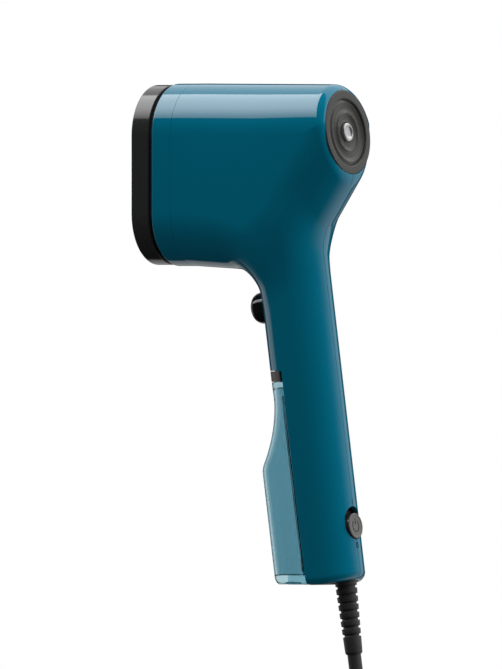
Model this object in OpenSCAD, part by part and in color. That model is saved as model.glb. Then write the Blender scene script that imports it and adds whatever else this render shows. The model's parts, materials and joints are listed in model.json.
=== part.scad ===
// Handheld garment steamer. Millimetres, +Z up, the steam plate faces -Y.
// The origin is the middle of the grip, on the grip's own axis.

/* [Head] */
// Width of the head, which has flat sides and half-round top and bottom
head_w = 53; // [52:0.5:54]
// Height of the head's section
head_h = 93; // [92:0.5:94]
// Height of the head's top above the grip's middle
head_top = 159.6; // [159:0.2:160]
// Distance of the steam plate's face in front of the grip's middle
plate_ahead = 90.4; // [89.6:0.2:91.2]
// Depth of the black rim round the steam plate
rim_depth = 10.2; // [9.6:0.2:10.6]
// Width of the gap between the rim and the casing
neck_gap = 2.2; // [1.8:0.2:2.6]
// Depth of the collar at the casing's front edge
collar_depth = 11.3; // [10.5:0.1:12]

/* [Grip] */
// Lean of the grip's axis from upright, with the foot to the back, in degrees
grip_tilt = 7.67; // [7:0.01:8]
// Width of the grip
grip_w = 35; // [34:0.5:36]
// Depth of the grip from front to back
grip_d = 36.6; // [36:0.2:37]
// Length of the grip below its middle, along its axis
grip_drop = 95; // [94:0.5:96]
// Wall thickness of the casing
wall = 2.2; // [2:0.1:2.4]

/* [Rear disc] */
// Distance of the disc's face behind the grip's axis
disc_back = 41; // [40.6:0.2:41.4]
// Height of the disc's centre along the grip's axis
disc_up = 130.2; // [129.8:0.1:130.8]
// Diameter of the disc
disc_d = 43; // [42:0.5:43.5]

/* [Controls] */
// Diameter of the steam trigger
trigger_d = 16; // [15:0.5:16.5]
// Height of the trigger's centre along the grip's axis
trigger_up = 48.4; // [47.5:0.1:49]
// How far the trigger stands out of the grip
trigger_proud = 7.5; // [7:0.5:8]
// Travel of the trigger
trigger_travel = 3; // [2:0.5:3]
// Diameter of the power slider
slider_d = 13.2; // [13:0.1:13.4]
// Height of the slider's centre along the grip's axis, when it is off
slider_up = -68.5; // [-69:0.1:-68]
// Travel of the slider
slider_travel = 3.2; // [2.8:0.1:3.2]

/* [Tank] */
// Distance of the tank's back in front of the grip's axis
tank_back = 4.9; // [4.8:0.1:5]
// Height of the tank's top
tank_top = 7.6; // [7.4:0.1:7.8]
// Height of the tank's foot
tank_foot = -95.3; // [-95.5:0.1:-95]
// How far the full part of the tank stands in front of the grip
tank_bulge = 11.7; // [11:0.1:12]
// Wall thickness of the tank
tank_wall = 1.8; // [1.6:0.1:2]
// Height of the latch block above the tank
latch_h = 4.8; // [4.6:0.1:4.9]

/* [Mains lead] */
// Diameter of the mains lead
cord_d = 7; // [6.8:0.1:7]
// Length of the tapered cord guard
guard_len = 38; // [36:1:40]
// Diameter of the cord guard where it leaves the grip
guard_d = 11.2; // [11:0.1:12]
// Height of the surface that the lead is laid on
lay_height = -205; // [-206:1:-204]

/* [Hidden] */
$fn = 64;

body_blue = "#0b5f78";
trim_black = "#262728";
trim_grey = "#4b4c4b";

tilt_cos = cos(grip_tilt);
tilt_sin = sin(grip_tilt);
head_r = head_w / 2;
head_mid = head_top - head_h / 2;
head_foot = head_top - head_h;
rim_back = -plate_ahead + rim_depth;
body_front = rim_back + neck_gap;
collar_back = body_front + collar_depth;

// Distance across and along the grip's axis of a point in the middle plane
function across(y, z) = y * tilt_cos + z * tilt_sin;
function along(y, z) = -y * tilt_sin + z * tilt_cos;
// Point in the middle plane at a distance behind the grip's axis and a height along it
function in_frame(u, v) = [0, u * tilt_cos - v * tilt_sin, u * tilt_sin + v * tilt_cos];

function ease(a, b, t) =
    let (s = min(max((t - a) / (b - a), 0), 1))
    s * s * (3 - 2 * s);
function round_union(a, b, r) = max(r, min(a, b)) - norm([max(r - a, 0), max(r - b, 0)]);
function soft_min(a, b, k) = let (h = max(k - abs(a - b), 0) / k) min(a, b) - h * h * k / 4;

// ---- Shape of the casing: an outline in the middle plane, and a half width at each point in it

// Slope of the head's underside behind the collar
under_slope = 0.06;
// Angle of the back of the neck that carries the disc, and a point on its line
nape_angle = 56.5;
nape_point = [19.4, 99.1];
// Fillets under the head, in front of the grip and behind it
throat_r = 13;
nape_r = 5;
// The shoulder line runs from the throat to the disc's lower edge
shoulder_angle = 36;
shoulder_point = [-38, 62];
// Heights above that line between which the grip widens to the head
shoulder_blend = [-28, 12];
// Height along its axis where the grip ends inside the head
grip_root = 100;
// Half width that the head loses towards the disc
disc_taper = 1.3;
// Where the top of the head starts to fall towards the disc, and how steeply it falls
fall_from = -60;
fall_slope = 0.0105;

function head_edge(y, z) = max(
    z - head_top + fall_slope * max(0, y - fall_from),
    head_foot - under_slope * max(0, y - collar_back) - z,
    (y - nape_point[0]) * sin(nape_angle) - (z - nape_point[1]) * cos(nape_angle)
);
function grip_edge(y, z) = max(abs(across(y, z)) - grip_d / 2, along(y, z) - grip_root);
function fillet_at(y) = throat_r + (nape_r - throat_r) * ease(-30, 5, y);
// Depth of a point inside the outline
function depth(y, z) = -round_union(head_edge(y, z), grip_edge(y, z), fillet_at(y));
function above_shoulder(y, z) =
    (z - shoulder_point[1]) * cos(shoulder_angle) - (y - shoulder_point[0]) * sin(shoulder_angle);
function head_half(y) = head_r - disc_taper * ease(-20, 25, y);
function half_width(y, z) =
    grip_w / 2
    + (head_half(y) - grip_w / 2) * ease(shoulder_blend[0], shoulder_blend[1], above_shoulder(y, z));
// Depth over which the surface rounds from the outline to its full width
function round_depth(y, z) =
    grip_d / 2 + (head_half(y) - grip_d / 2) * ease(-12, 10, above_shoulder(y, z));

// How far inside the casing a point is, for a skin that lies inset below the outside
function inside(p, inset, back_stop) =
    let (d = depth(p[1], p[2]) - inset)
    let (c = 1 - min(d / (round_depth(p[1], p[2]) - inset), 1))
    d <= 0 || across(p[1], p[2]) > back_stop
        ? -1
        : (half_width(p[1], p[2]) - inset) * sqrt(1 - c * c) - p[0];

// Distance from a point along a direction to the skin, by halving
function reach(from, way, inset, back_stop, low = 0, high = 150, steps = 17) =
    let (middle = (low + high) / 2)
    steps == 0
        ? low
        : inside(from + middle * way, inset, back_stop) > 0
            ? reach(from, way, inset, back_stop, middle, high, steps - 1)
            : reach(from, way, inset, back_stop, low, middle, steps - 1);

function skin_arc(centre, out, inset, back_stop) = [
    for (k = [0:arc_steps])
    let (a = -90 + 180 * k / arc_steps)
    let (way = [cos(a), out[0] * sin(a), out[1] * sin(a)])
    [0, centre[0], centre[1]] + way * reach([0, centre[0], centre[1]], way, inset, back_stop)
];

arc_steps = 20;
// The sections of the casing turn about a pivot below the throat
pivot = [-40, 50];
pivot_out = -across(pivot[0], pivot[1]);
pivot_up = along(pivot[0], pivot[1]);
end_wall = 2.9;

// Distance of a section's centre from the pivot, by the section's angle
function spine_out(a) =
    let (s = ease(grip_tilt, 60, a))
    pivot_out + (66 - pivot_out) * s - 3 * ease(60, 90, a);
fan = concat(
    [for (a = [80:-10:60]) a],
    [for (a = [56.5:-3.5:21.5]) a],
    [15, grip_tilt]
);
// Each section is its centre, its outward direction and the inset of its outer edge
sections = concat(
    [[[collar_back + 0.1, head_mid], [0, 1], 0], [[pivot[0], head_mid], [0, 1], 0]],
    [
        for (a = fan)
        [pivot + spine_out(a) * [cos(a), sin(a)], [cos(a), sin(a)], 0]
    ],
    [
        for (row = [[48, 0], [41, 0], [34, 0], [27, 0], [-93, 0], [-94.4, 0.5], [-95, 1.7]])
        let (up = row[0] + (row[0] < 0 ? 95 - grip_drop : 0))
        [[-up * tilt_sin, up * tilt_cos], [tilt_cos, tilt_sin], row[1]]
    ]
);

function flip(list) = [for (k = [len(list) - 1:-1:0]) list[k]];
function flat(lists) = [for (list = lists) for (item = list) item];

// Triangles across a loop of n points, from each point to the one as far from the other end
function cap_strip(n) = [
    for (k = [0:floor(n / 2) - 1])
    for (t = [[k, k + 1, n - 1 - k], [k + 1, n - 2 - k, n - 1 - k]])
    if (t[0] < t[1] && t[1] < t[2]) t
];

// Closed solid through loops of equal length, with a cap on the first and the last
module loft(loops) {
    n = len(loops[0]);
    m = len(loops);
    sides = [
        for (j = [0:m - 2])
        for (k = [0:n - 1])
        let (a = j * n + k, b = j * n + (k + 1) % n)
        [a, b, b + n, a + n]
    ];
    halves = flat([for (q = sides) [[q[0], q[1], q[2]], [q[0], q[2], q[3]]]]);
    first = [for (t = cap_strip(n)) flip(t)];
    last = [for (t = cap_strip(n)) [for (k = t) (m - 1) * n + k]];
    polyhedron(points = flat(loops), faces = concat(halves, first, last), convexity = 10);
}

module half_casing() {
    loft([
        for (s = sections)
        concat(
            skin_arc(s[0], s[1], s[2], disc_back + 20),
            flip(skin_arc(s[0], s[1], wall, disc_back - end_wall))
        )
    ]);
}

module in_grip() {
    rotate([grip_tilt, 0, 0]) children();
}

// Rod along the grip's Y, from one place to another
module rod(radius, from, to, x = 0, z = 0) {
    translate([x, from, z]) rotate([-90, 0, 0]) cylinder(r = radius, h = to - from);
}

module block(x, y, z) {
    translate([x[0], y[0], z[0]]) cube([x[1] - x[0], y[1] - y[0], z[1] - z[0]]);
}

// Stadium in the XZ plane, extruded along Y
module stadium(half, middle, tall, from, to) {
    straight = tall / 2 - half;
    translate([0, to, middle]) rotate([90, 0, 0]) linear_extrude(height = to - from) union() {
        square([2 * half, 2 * straight], center = true);
        translate([0, straight]) circle(r = half);
        translate([0, -straight]) circle(r = half);
    }
}

module stadium_ring(inset_out, inset_in, from, to) {
    difference() {
        stadium(head_r - inset_out, head_mid, head_h - 2 * inset_out, from, to);
        stadium(head_r - inset_in, head_mid, head_h - 2 * inset_in, from - 1, to + 1);
    }
}

// ---- Openings in the casing

bay_wall_at = -4.5;
bay_top = 13.2;
disc_seat = 2.3;
flange_thick = 2;
screw_r = 1.45;
button_gap = 0.35;
slot_gap = 0.3;

module tank_bay() {
    intersection() {
        in_grip() block([-30, 30], [-60, bay_wall_at], [-120, 40]);
        block([-40, 40], [-80, 60], [-150, bay_top]);
    }
}

module slider_slot(gap, from, to) {
    rod(slider_d / 2 + gap, from, to, 0, slider_up);
    rod(slider_d / 2 + gap, from, to, 0, slider_up + slider_travel);
    half = slider_d / 2 + gap;
    block([-half, half], [from, to], [slider_up, slider_up + slider_travel]);
}

module shell() {
    difference() {
        half_casing();
        in_grip() {
            block([-40, 40], [disc_back, 90], [60, 200]);
            rod(disc_d / 2 + 0.2, disc_back - disc_seat, disc_back + 5, 0, disc_up);
            rod(trigger_d / 2 + button_gap, -30, -8, 0, trigger_up);
            slider_slot(slot_gap, 8, 25);
        }
        tank_bay();
    }
}

module left_shell() {
    color(body_blue) shell();
}

module right_shell() {
    color(body_blue) mirror([1, 0, 0]) shell();
}

// Places of the four screws that hold the collar to the neck
module at_plate_screws() {
    for (side = [-1, 1])
    for (z = [-18, 18])
    translate([side * 22.2, 0, head_mid + z]) children();
}

module front_collar() {
    color(body_blue) difference() {
        union() {
            stadium_ring(0, wall, body_front, collar_back);
            stadium_ring(wall - 0.4, wall + 4, body_front, body_front + flange_thick);
        }
        at_plate_screws() rod(screw_r + 0.05, body_front - 1, body_front + flange_thick + 1);
    }
}

// ---- Head: steam plate, boiler and their shields

rim_inset = 0.6;
rim_wall = 3.4;
plate_thick = 5;
plate_inset = rim_inset + rim_wall + 0.3;
steam_hole_r = 1.4;
chamber_inset = 6.5;
chamber_front = -plate_ahead + plate_thick + 1;
chamber_back = chamber_front + 18;
element_r = 3.25;
element_arc = 12;
element_reach = 24;
element_short = 6;
shield_at = chamber_back + 9;
inlet_z = head_mid + 20;
inlet_r = 2;
inlet_len = 10;

module plate_rim() {
    color(trim_black) stadium_ring(rim_inset, rim_inset + rim_wall, -plate_ahead, rim_back);
}

module rim_neck() {
    color("#141414") difference() {
        stadium_ring(2.4, chamber_inset - 0.3, rim_back + 0.02, body_front - 0.02);
        at_plate_screws() rod(screw_r + 0.05, rim_back - 1, body_front + 1);
    }
}

// Rows of steam holes, staggered, inside the plate's edge
module steam_holes() {
    for (row = [-4:4])
    let (count = abs(row) % 2 == 0 ? 3 : 2)
    for (k = [0:count - 1])
    let (x = (k - (count - 1) / 2) * 11)
    rod(steam_hole_r, -plate_ahead - 1, -plate_ahead + plate_thick + 1, x, head_mid + row * 8.2);
}

module steam_plate() {
    color("#c9ccd0") difference() {
        stadium(
            head_r - plate_inset, head_mid, head_h - 2 * plate_inset,
            -plate_ahead, -plate_ahead + plate_thick
        );
        steam_holes();
    }
}

module chamber_gasket() {
    color("#a8452f")
    stadium_ring(chamber_inset, chamber_inset + 3, chamber_front - 1, chamber_front - 0.01);
}

module steam_chamber() {
    color("#a9abad") difference() {
        stadium(
            head_r - chamber_inset, head_mid, head_h - 2 * chamber_inset,
            chamber_front, chamber_back
        );
        // Steam space behind the plate
        stadium(
            head_r - chamber_inset - 3, head_mid, head_h - 2 * chamber_inset - 6,
            chamber_front - 1, chamber_front + 7
        );
        rod(inlet_r + 0.05, chamber_front, chamber_back + 1, 0, inlet_z);
    }
}

// U-shaped sheathed element that lies on the back of the boiler
module heating_element() {
    at = chamber_back + element_r + 0.02;
    color("#6d6f70") union() {
        for (side = [-1, 1])
        translate([side * element_arc, at, head_mid - element_reach])
        cylinder(r = element_r, h = 2 * element_reach - element_short);
        translate([0, at, head_mid - element_reach]) rotate([90, 0, 0])
        rotate_extrude(angle = -180) translate([element_arc, 0]) circle(r = element_r);
    }
}

module element_terminals() {
    at = chamber_back + element_r;
    color("#b7a36a")
    for (side = [-1, 1])
    translate([side * element_arc, at, head_mid + element_reach - element_short])
    cylinder(r = 1.6, h = 9);
}

// Straps across both legs of the element
module heater_clamps() {
    front = chamber_back + 2 * element_r + 0.04;
    color("#8f9192")
    for (z = [head_mid - 18, head_mid + 4])
    block([-17, 17], [front, front + 1.2], [z, z + 8]);
}

module thermostat() {
    color("#d8d3c4") union() {
        rod(7.5, chamber_back + 0.02, chamber_back + 5, 0, head_mid - 10);
        rod(4, chamber_back + 4.9, chamber_back + 6.3, 0, head_mid - 10);
    }
}

module thermal_fuse() {
    color("#c6b27a")
    translate([0, chamber_back + 2.05, head_mid + 3.5]) cylinder(r = 2, h = 11);
}

module heat_shield() {
    color("#c8bd9a") difference() {
        stadium(head_r - 4.5, head_mid, head_h - 9, shield_at, shield_at + 1);
        rod(inlet_r + 3, shield_at - 1, shield_at + 2, 0, inlet_z);
        for (side = [-1, 1])
        rod(3, shield_at - 1, shield_at + 2, side * element_arc, head_mid + 30);
    }
}

module steam_inlet() {
    color("#b08d4a") difference() {
        union() {
            rod(inlet_r, chamber_back - 6, shield_at + inlet_len, 0, inlet_z);
            rod(3.6, chamber_back + 0.02, chamber_back + 3, 0, inlet_z);
        }
        rod(inlet_r - 0.9, chamber_back - 7, shield_at + inlet_len + 1, 0, inlet_z);
    }
}

// Screws that pull the collar onto the neck, between the boiler and the wall
module plate_screws() {
    head_at = body_front + flange_thick + 0.02;
    color("#8d8f91") at_plate_screws() union() {
        rod(2, head_at, head_at + 1.6);
        rod(screw_r, head_at - 3.9, head_at + 0.1);
    }
}

// ---- Pump, in the root of the head, upright

pump_at = [0, -12];
pump_low = 78;
pump_high = 112;
pump_tall = pump_high - pump_low;
spool_r = 6;
spool_flange_r = 10.5;
spool_flange = 3;
nozzle_r = 2.4;
nozzle_len = 8;
nozzle_bore = 1.1;
core_r = 4;
core_gap = 0.05;
core_low = pump_low + 12;
core_len = 13;
mount_thick = 4;

module at_pump(z) {
    translate([pump_at[0], pump_at[1], z]) children();
}

module pump_body() {
    color("#e3e3df") difference() {
        union() {
            at_pump(pump_low) cylinder(r = spool_r, h = pump_tall);
            at_pump(pump_low) cylinder(r = spool_flange_r, h = spool_flange);
            at_pump(pump_high - spool_flange) cylinder(r = spool_flange_r, h = spool_flange);
            at_pump(pump_low - nozzle_len) cylinder(r = nozzle_r, h = nozzle_len + 0.1);
            at_pump(pump_high - 0.1) cylinder(r = nozzle_r, h = nozzle_len + 0.1);
        }
        at_pump(pump_low + spool_flange)
        cylinder(r = core_r + core_gap, h = pump_tall - 2 * spool_flange);
        at_pump(pump_low - nozzle_len - 1)
        cylinder(r = nozzle_bore, h = pump_tall + 2 * nozzle_len + 2);
    }
}

module pump_winding() {
    color("#a5542b") difference() {
        at_pump(pump_low + spool_flange + 0.3)
        cylinder(r = spool_flange_r - 0.9, h = pump_tall - 2 * spool_flange - 0.6);
        at_pump(pump_low + spool_flange)
        cylinder(r = spool_r + 0.2, h = pump_tall - 2 * spool_flange);
    }
}

module pump_core() {
    color("#77797b") difference() {
        at_pump(core_low) cylinder(r = core_r, h = core_len);
        at_pump(core_low - 1) cylinder(r = nozzle_bore + 0.1, h = core_len + 2);
    }
}

// Coil of wire along Z; the wire is a swept polygon
module coil_spring(radius, wire_r, length, turns) {
    rings = turns * 14;
    loft([
        for (j = [0:rings])
        let (a = j * 360 / 14, rise = j * length / rings)
        [
            for (k = [0:5])
            let (b = -60 * k, r = radius + wire_r * cos(b))
            [r * cos(a), r * sin(a), rise + wire_r * sin(b)]
        ]
    ]);
}

module pump_spring() {
    low = pump_low + spool_flange + 0.5;
    color("#c0c2c4") at_pump(low) coil_spring(2.9, 0.4, core_low - 0.5 - low, 4);
}

module pump_mounts() {
    color("#3a3a3a")
    for (z = [pump_low - 0.2 - mount_thick, pump_high + 0.2])
    difference() {
        at_pump(z) cylinder(r = 8, h = mount_thick);
        at_pump(z - 1) cylinder(r = nozzle_r + 0.1, h = mount_thick + 2);
    }
}

// ---- Hoses: round pipes through points in space

function unit(v) = v / norm(v);
// Ring of points round a centre, in the plane across a direction, with the ring's X kept level
function pipe_ring(centre, way, side, radius, sides) =
    let (a = unit(cross(way, side)), b = unit(cross(a, way)))
    [for (k = [0:sides - 1]) centre + radius * (cos(360 * k / sides) * b + sin(360 * k / sides) * a)];
function way_at(path, j) =
    unit(path[min(j + 1, len(path) - 1)] - path[max(j - 1, 0)]);
// Point on a smooth curve through four neighbours, the middle two being its ends
function blend_point(p0, p1, p2, p3, t) = 0.5 * (
    2 * p1 + (p2 - p0) * t + (2 * p0 - 5 * p1 + 4 * p2 - p3) * t * t
    + (3 * p1 - p0 - 3 * p2 + p3) * t * t * t
);
function smooth_path(p, steps) = concat(
    [
        for (j = [0:len(p) - 2])
        for (k = [0:steps - 1])
        blend_point(
            p[max(j - 1, 0)], p[j], p[j + 1], p[min(j + 2, len(p) - 1)], k / steps
        )
    ],
    [p[len(p) - 1]]
);

module pipe(path, radius, sides, side = [1, 0, 0]) {
    loft([
        for (j = [0:len(path) - 1])
        pipe_ring(path[j], way_at(path, j), side, radius, sides)
    ]);
}

hose_r = 2.9;
inlet_nozzle = [0, pump_at[1], pump_low - nozzle_len - 0.1];
outlet_nozzle = [0, pump_at[1], pump_high + nozzle_len + 0.2];
seal_up = 0;

module inlet_hose() {
    // Distance behind the grip's axis and height along it
    route = [
        [3.3, 0], [4.7, 0.15], [6.9, 1.4], [8.2, 4.6], [7.4, 10], [5.8, 14.5], [4.7, 19],
        [4.6, 27], [4.6, 38], [4.5, 48], [4.3, 53], [2.9, 58], [-0.6, 62.5]
    ];
    points = [for (p = route) in_frame(p[0], p[1])];
    last = [for (below = [4.2, 1.4, 0]) inlet_nozzle - [0, 0, below]];
    path = smooth_path(concat(points, last), 3);
    color("#d9d9d2") pipe(path, hose_r, 10);
}

module outlet_hose() {
    end = shield_at + inlet_len + 0.1;
    path = smooth_path([
        outlet_nozzle, outlet_nozzle + [0, 0, 1.5], outlet_nozzle + [0, 0, 5], [0, -20, 134],
        [0, -34, 138], [0, end + 6, inlet_z], [0, end + 1.5, inlet_z], [0, end, inlet_z]
    ], 3);
    color("#d9d9d2") pipe(path, hose_r, 10);
}

module hose_clips() {
    color("#9a9c9e") {
        for (z = [inlet_nozzle[2] - 2.6, outlet_nozzle[2] + 0.6])
        difference() {
            at_pump(z) cylinder(r = hose_r + 1.4, h = 2);
            at_pump(z - 1) cylinder(r = hose_r + 0.3, h = 4);
        }
    }
}

// ---- Disc at the back of the head

disc_floor = disc_back - disc_seat + 0.05;
ripple_count = 3;
ripple_pitch = 4;
ripple_from = 7.2;

module at_disc(y) {
    in_grip() translate([0, y, disc_up]) rotate([-90, 0, 0]) children();
}

module rear_disc() {
    rise = disc_back - disc_floor;
    color(trim_grey) at_disc(disc_floor) difference() {
        cylinder(r = disc_d / 2, h = rise);
        // Sunken field with ripples standing in it
        difference() {
            translate([0, 0, rise - 0.9]) cylinder(r = ripple_from + ripple_count * ripple_pitch, h = 2);
            for (k = [0:ripple_count - 1])
            translate([0, 0, rise - 0.9]) rotate_extrude()
            translate([ripple_from + k * ripple_pitch + 1.2, 0]) circle(r = 0.85);
        }
        translate([0, 0, -1]) cylinder(r = 2.5, h = 5);
    }
}

module disc_centre() {
    color("#c4c6c8") at_disc(disc_back - 0.85) union() {
        cylinder(r = 5.6, h = 0.5);
        translate([0, 0, 0.5]) cylinder(r1 = 5.2, r2 = 2.6, h = 0.35);
    }
}

// ---- Steam trigger and its switch, in the grip's frame

grip_front = -grip_d / 2;
trigger_face = grip_front - trigger_proud;
trigger_dome = 12;
flange_at = -12;
button_flange_r = 9.2;
button_flange = 1.2;
// The switch stands clear of the flange when the trigger is pressed home
switch_front = flange_at + button_flange + trigger_travel + 1.8;
switch_half_w = 6.4;
switch_half_h = 5;
plunger_r = 1.2;

module trigger() {
    color("#101112") in_grip() union() {
        intersection() {
            rod(trigger_d / 2, trigger_face - 1, flange_at - 0.5, 0, trigger_up);
            translate([0, trigger_face + trigger_dome, trigger_up]) sphere(r = trigger_dome);
        }
        rod(trigger_d / 2, grip_front, flange_at, 0, trigger_up);
        rod(button_flange_r, flange_at, flange_at + button_flange, 0, trigger_up);
    }
}

module trigger_spring() {
    wire = 0.4;
    low = flange_at + button_flange + wire + 0.2;
    high = switch_front - wire - 0.2;
    color("#c0c2c4") in_grip()
    translate([0, low, trigger_up]) rotate([-90, 0, 0]) coil_spring(4, wire, high - low, 2);
}

module micro_switch() {
    color("#2f4f7a") in_grip() difference() {
        block(
            [-switch_half_w, switch_half_w], [switch_front, 0.5],
            [trigger_up - switch_half_h, trigger_up + switch_half_h]
        );
        rod(plunger_r + 0.06, switch_front - 1, -0.6, 0, trigger_up);
    }
}

module switch_plunger() {
    color("#d23b2a") in_grip() 
    rod(plunger_r, flange_at + button_flange + 0.05, switch_front + 2, 0, trigger_up);
}

// ---- Power slider

grip_back = grip_d / 2;
slider_proud = 0.7;
insert_front = 12.2;
insert_back = 14;
insert_half = 7;
insert_end = 7.5;
switch_foot = 5;
switch_end = 8;
stem_half = 1.5;
stem_from = 10;
stem_gap = 0.4;

module power_slider() {
    color("#7c7c7a") in_grip() union() {
        rod(slider_d / 2, insert_back + 0.3, grip_back + slider_proud, 0, slider_up);
        block(
            [-stem_half, stem_half], [stem_from, insert_back + 0.5],
            [slider_up - stem_half, slider_up + stem_half]
        );
    }
}

// Opening that the slider's stem moves in
module stem_window(from, to) {
    half = stem_half + stem_gap;
    block([-half, half], [from, to], [slider_up - half, slider_up + slider_travel + half]);
}

// Black floor of the slot, with a window for the slider's stem
module slider_insert() {
    color(trim_black) in_grip() difference() {
        block(
            [-insert_half, insert_half], [insert_front, insert_back],
            [slider_up - insert_end, slider_up + slider_travel + insert_end]
        );
        stem_window(insert_front - 1, insert_back + 1);
    }
}

module slide_switch() {
    color("#303234") in_grip() difference() {
        block(
            [-5.5, 5.5], [switch_foot, insert_front - 0.3],
            [slider_up - switch_end, slider_up + slider_travel + switch_end]
        );
        stem_window(stem_from - 0.4, insert_front);
    }
}

// ---- Electrics in the grip

board_at = 0.5;
module circuit_board() {
    color("#2f6b3c") in_grip() block([-11, 11], [board_at, board_at + 1.6], [-52, -12]);
}

module board_parts() {
    base = board_at + 1.62;
    color("#3a3d40") in_grip() {
        block([-9, -1], [base, base + 6], [-50, -38]);
        block([2, 8], [base, base + 4], [-48, -30]);
        rod(3.5, base, base + 8, -4, -28);
        rod(1.6, base, base + 3, 6, -20);
        block([-9, -2], [base, base + 2.5], [-20, -14]);
    }
}

block_low = 18;
block_tall = 10;
block_mid = 10.75;
module terminal_block() {
    color("#e8e4d4") in_grip() difference() {
        block([-7.5, 7.5], [block_mid - 2.75, block_mid + 2.75], [block_low, block_low + block_tall]);
        for (x = [-5, 0, 5])
        translate([x, block_mid, block_low - 1]) cylinder(r = 1.6, h = block_tall + 2);
    }
}

wire_r = 0.9;
module internal_wires() {
    top = block_low + block_tall;
    routes = [
        [[4, 12.5, -52], [8, 12, -40], [9.5, 10.5, -20], [8, 10, 0], [5, block_mid, block_low - 0.3]],
        [
            [5, block_mid, top + 0.3], [8, 10.5, 40], [10, 10, 60],
            [14, 6, 85], [17, -14, 118], [14, -34, 140]
        ]
    ];
    color("#b5372e") in_grip()
    for (side = [-1, 1])
    for (r = routes)
    pipe(smooth_path([for (p = r) [side * p[0], p[1], p[2]]], 3), wire_r, 8);
}

clamp_low = -88;
clamp_tall = 7;
clamp_front = 4.6;
clamp_back = 13;
cord_in = 9;
clamp_screw_at = 6.4;
module cord_clamp() {
    color("#d8d8d4") in_grip() difference() {
        block([-8.9, 8.9], [clamp_front, clamp_back], [clamp_low, clamp_low + clamp_tall]);
        translate([0, cord_in, clamp_low - 1]) cylinder(r = cord_d / 2 + 0.05, h = clamp_tall + 2);
        for (side = [-1, 1])
        rod(
            screw_r + 0.05, clamp_front - 1, clamp_back + 1,
            side * clamp_screw_at, clamp_low + clamp_tall / 2
        );
    }
}

module clamp_screws() {
    color("#8d8f91") in_grip()
    for (side = [-1, 1])
    rod(
        screw_r, clamp_front - 1.6, clamp_back - 0.5,
        side * clamp_screw_at, clamp_low + clamp_tall / 2
    );
}

// ---- Cradle: the wall behind the tank and the shelf above it

cradle_thick = 1.8;
cradle_half = 14.4;
cradle_low = -91.5;
cradle_high = 16;
cradle_screws_at = [-78, -24];
seal_hole_r = 5.6;

module cradle() {
    color(body_blue) difference() {
        union() {
            in_grip()
            block(
                [-cradle_half, cradle_half], [bay_wall_at, bay_wall_at + cradle_thick],
                [cradle_low, cradle_high]
            );
            intersection() {
                in_grip() translate([0, 0, 5]) cylinder(r = 14.8, h = 20);
                block([-20, 20], [-40, 2], [bay_top, bay_top + 1.8]);
                in_grip() block([-20, 20], [-40, bay_wall_at + cradle_thick], [0, 30]);
            }
        }
        in_grip() rod(seal_hole_r, -10, 0, 0, seal_up);
        in_grip()
        for (z = cradle_screws_at)
        rod(screw_r + 0.15, -10, 0, 0, z);
    }
}

module cradle_screws() {
    color("#8d8f91") in_grip()
    for (z = cradle_screws_at)
    rod(screw_r, bay_wall_at + 0.1, bay_wall_at + 4.6, 0, z);
}

spout_r = 3;
spout_bore = 1.4;
module tank_seal() {
    color("#b9512f") in_grip() difference() {
        union() {
            rod(seal_hole_r - 0.05, bay_wall_at + 0.05, 3, 0, seal_up);
            rod(seal_hole_r + 1.6, bay_wall_at + cradle_thick + 0.05, -0.4, 0, seal_up);
        }
        rod(spout_r + 0.06, -10, 1.2, 0, seal_up);
        rod(spout_bore, 1, 4, 0, seal_up);
    }
}

// ---- Tank, in level sections

tank_side_steps = 9;
bulge_from = 3;
bulge_curve = 0.0075;
bulge_round = 1.6;
base_thick = 4.9;
foot_round = 4;
nose_r = 16;
tank_half = 16.96;

function bulge_at(z) =
    let (s = max(0, bulge_from - z))
    max(0, soft_min(bulge_curve * s * s, tank_bulge, bulge_round));
// Level outline of the tank at a height, inset from its outside by the wall
function tank_loop(z, inset, back) =
    let (full = bulge_at(z) / tank_bulge)
    let (front = grip_d / 2 + bulge_at(z) - inset)
    let (r = grip_d / 2 + (nose_r - grip_d / 2) * full - inset)
    let (w = grip_w / 2 + (tank_half - grip_w / 2) * full - inset)
    let (run = front - back)
    let (end = run >= r ? 90 : acos(1 - run / r))
    let (side = concat(
        [
            for (k = [0:tank_side_steps])
            let (a = end * k / tank_side_steps)
            [w * sin(a), -front + r * (1 - cos(a))]
        ],
        [[w * sin(end), -back]]
    ))
    let (around = concat(side, [for (k = [len(side) - 1:-1:1]) [-side[k][0], side[k][1]]]))
    [for (p = around) [p[0], (p[1] - z * tilt_sin) / tilt_cos, z]];

tank_levels = [-90.4, -46, -41, -38, -36, -34, -31, -28, -24, -20, -16, -12, -8, -4, 0, 3, 7.6];

module tank_shell() {
    levels = [for (z = tank_levels) z + (z > 7 ? tank_top - 7.6 : 0)];
    roof = tank_top - 2.6;
    color("#4f94a8", 0.6) union() {
        difference() {
            loft(concat(
                [for (z = flip(levels)) tank_loop(z, z > 7 ? 0.3 : 0, tank_back)],
                [for (z = [for (z = levels) if (z < 3) z]) tank_loop(z, tank_wall, tank_back + tank_wall)],
                [tank_loop(roof, tank_wall, tank_back + tank_wall)]
            ));
            in_grip() rod(spout_r - 0.6, -9, 0, 0, seal_up);
        }
        // Tab that the latch spring pushes against
        in_grip()
        block([-3, 3], [-tank_back - 0.25, -tank_back + 0.3], [tank_top - 1, latch_low + latch_h - 0.5]);
    }
}

flap_at = -18;
filler_r = 5.5;
flap_r = 7.6;
flap_thick = 1.8;
hinge_r = 0.8;
function foot_y(u) = (u - tank_foot * tilt_sin) / tilt_cos;
filler_y = foot_y(flap_at);
hinge_y = filler_y + flap_r + 2.2;
hinge_z = tank_foot + 1.9;

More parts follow.
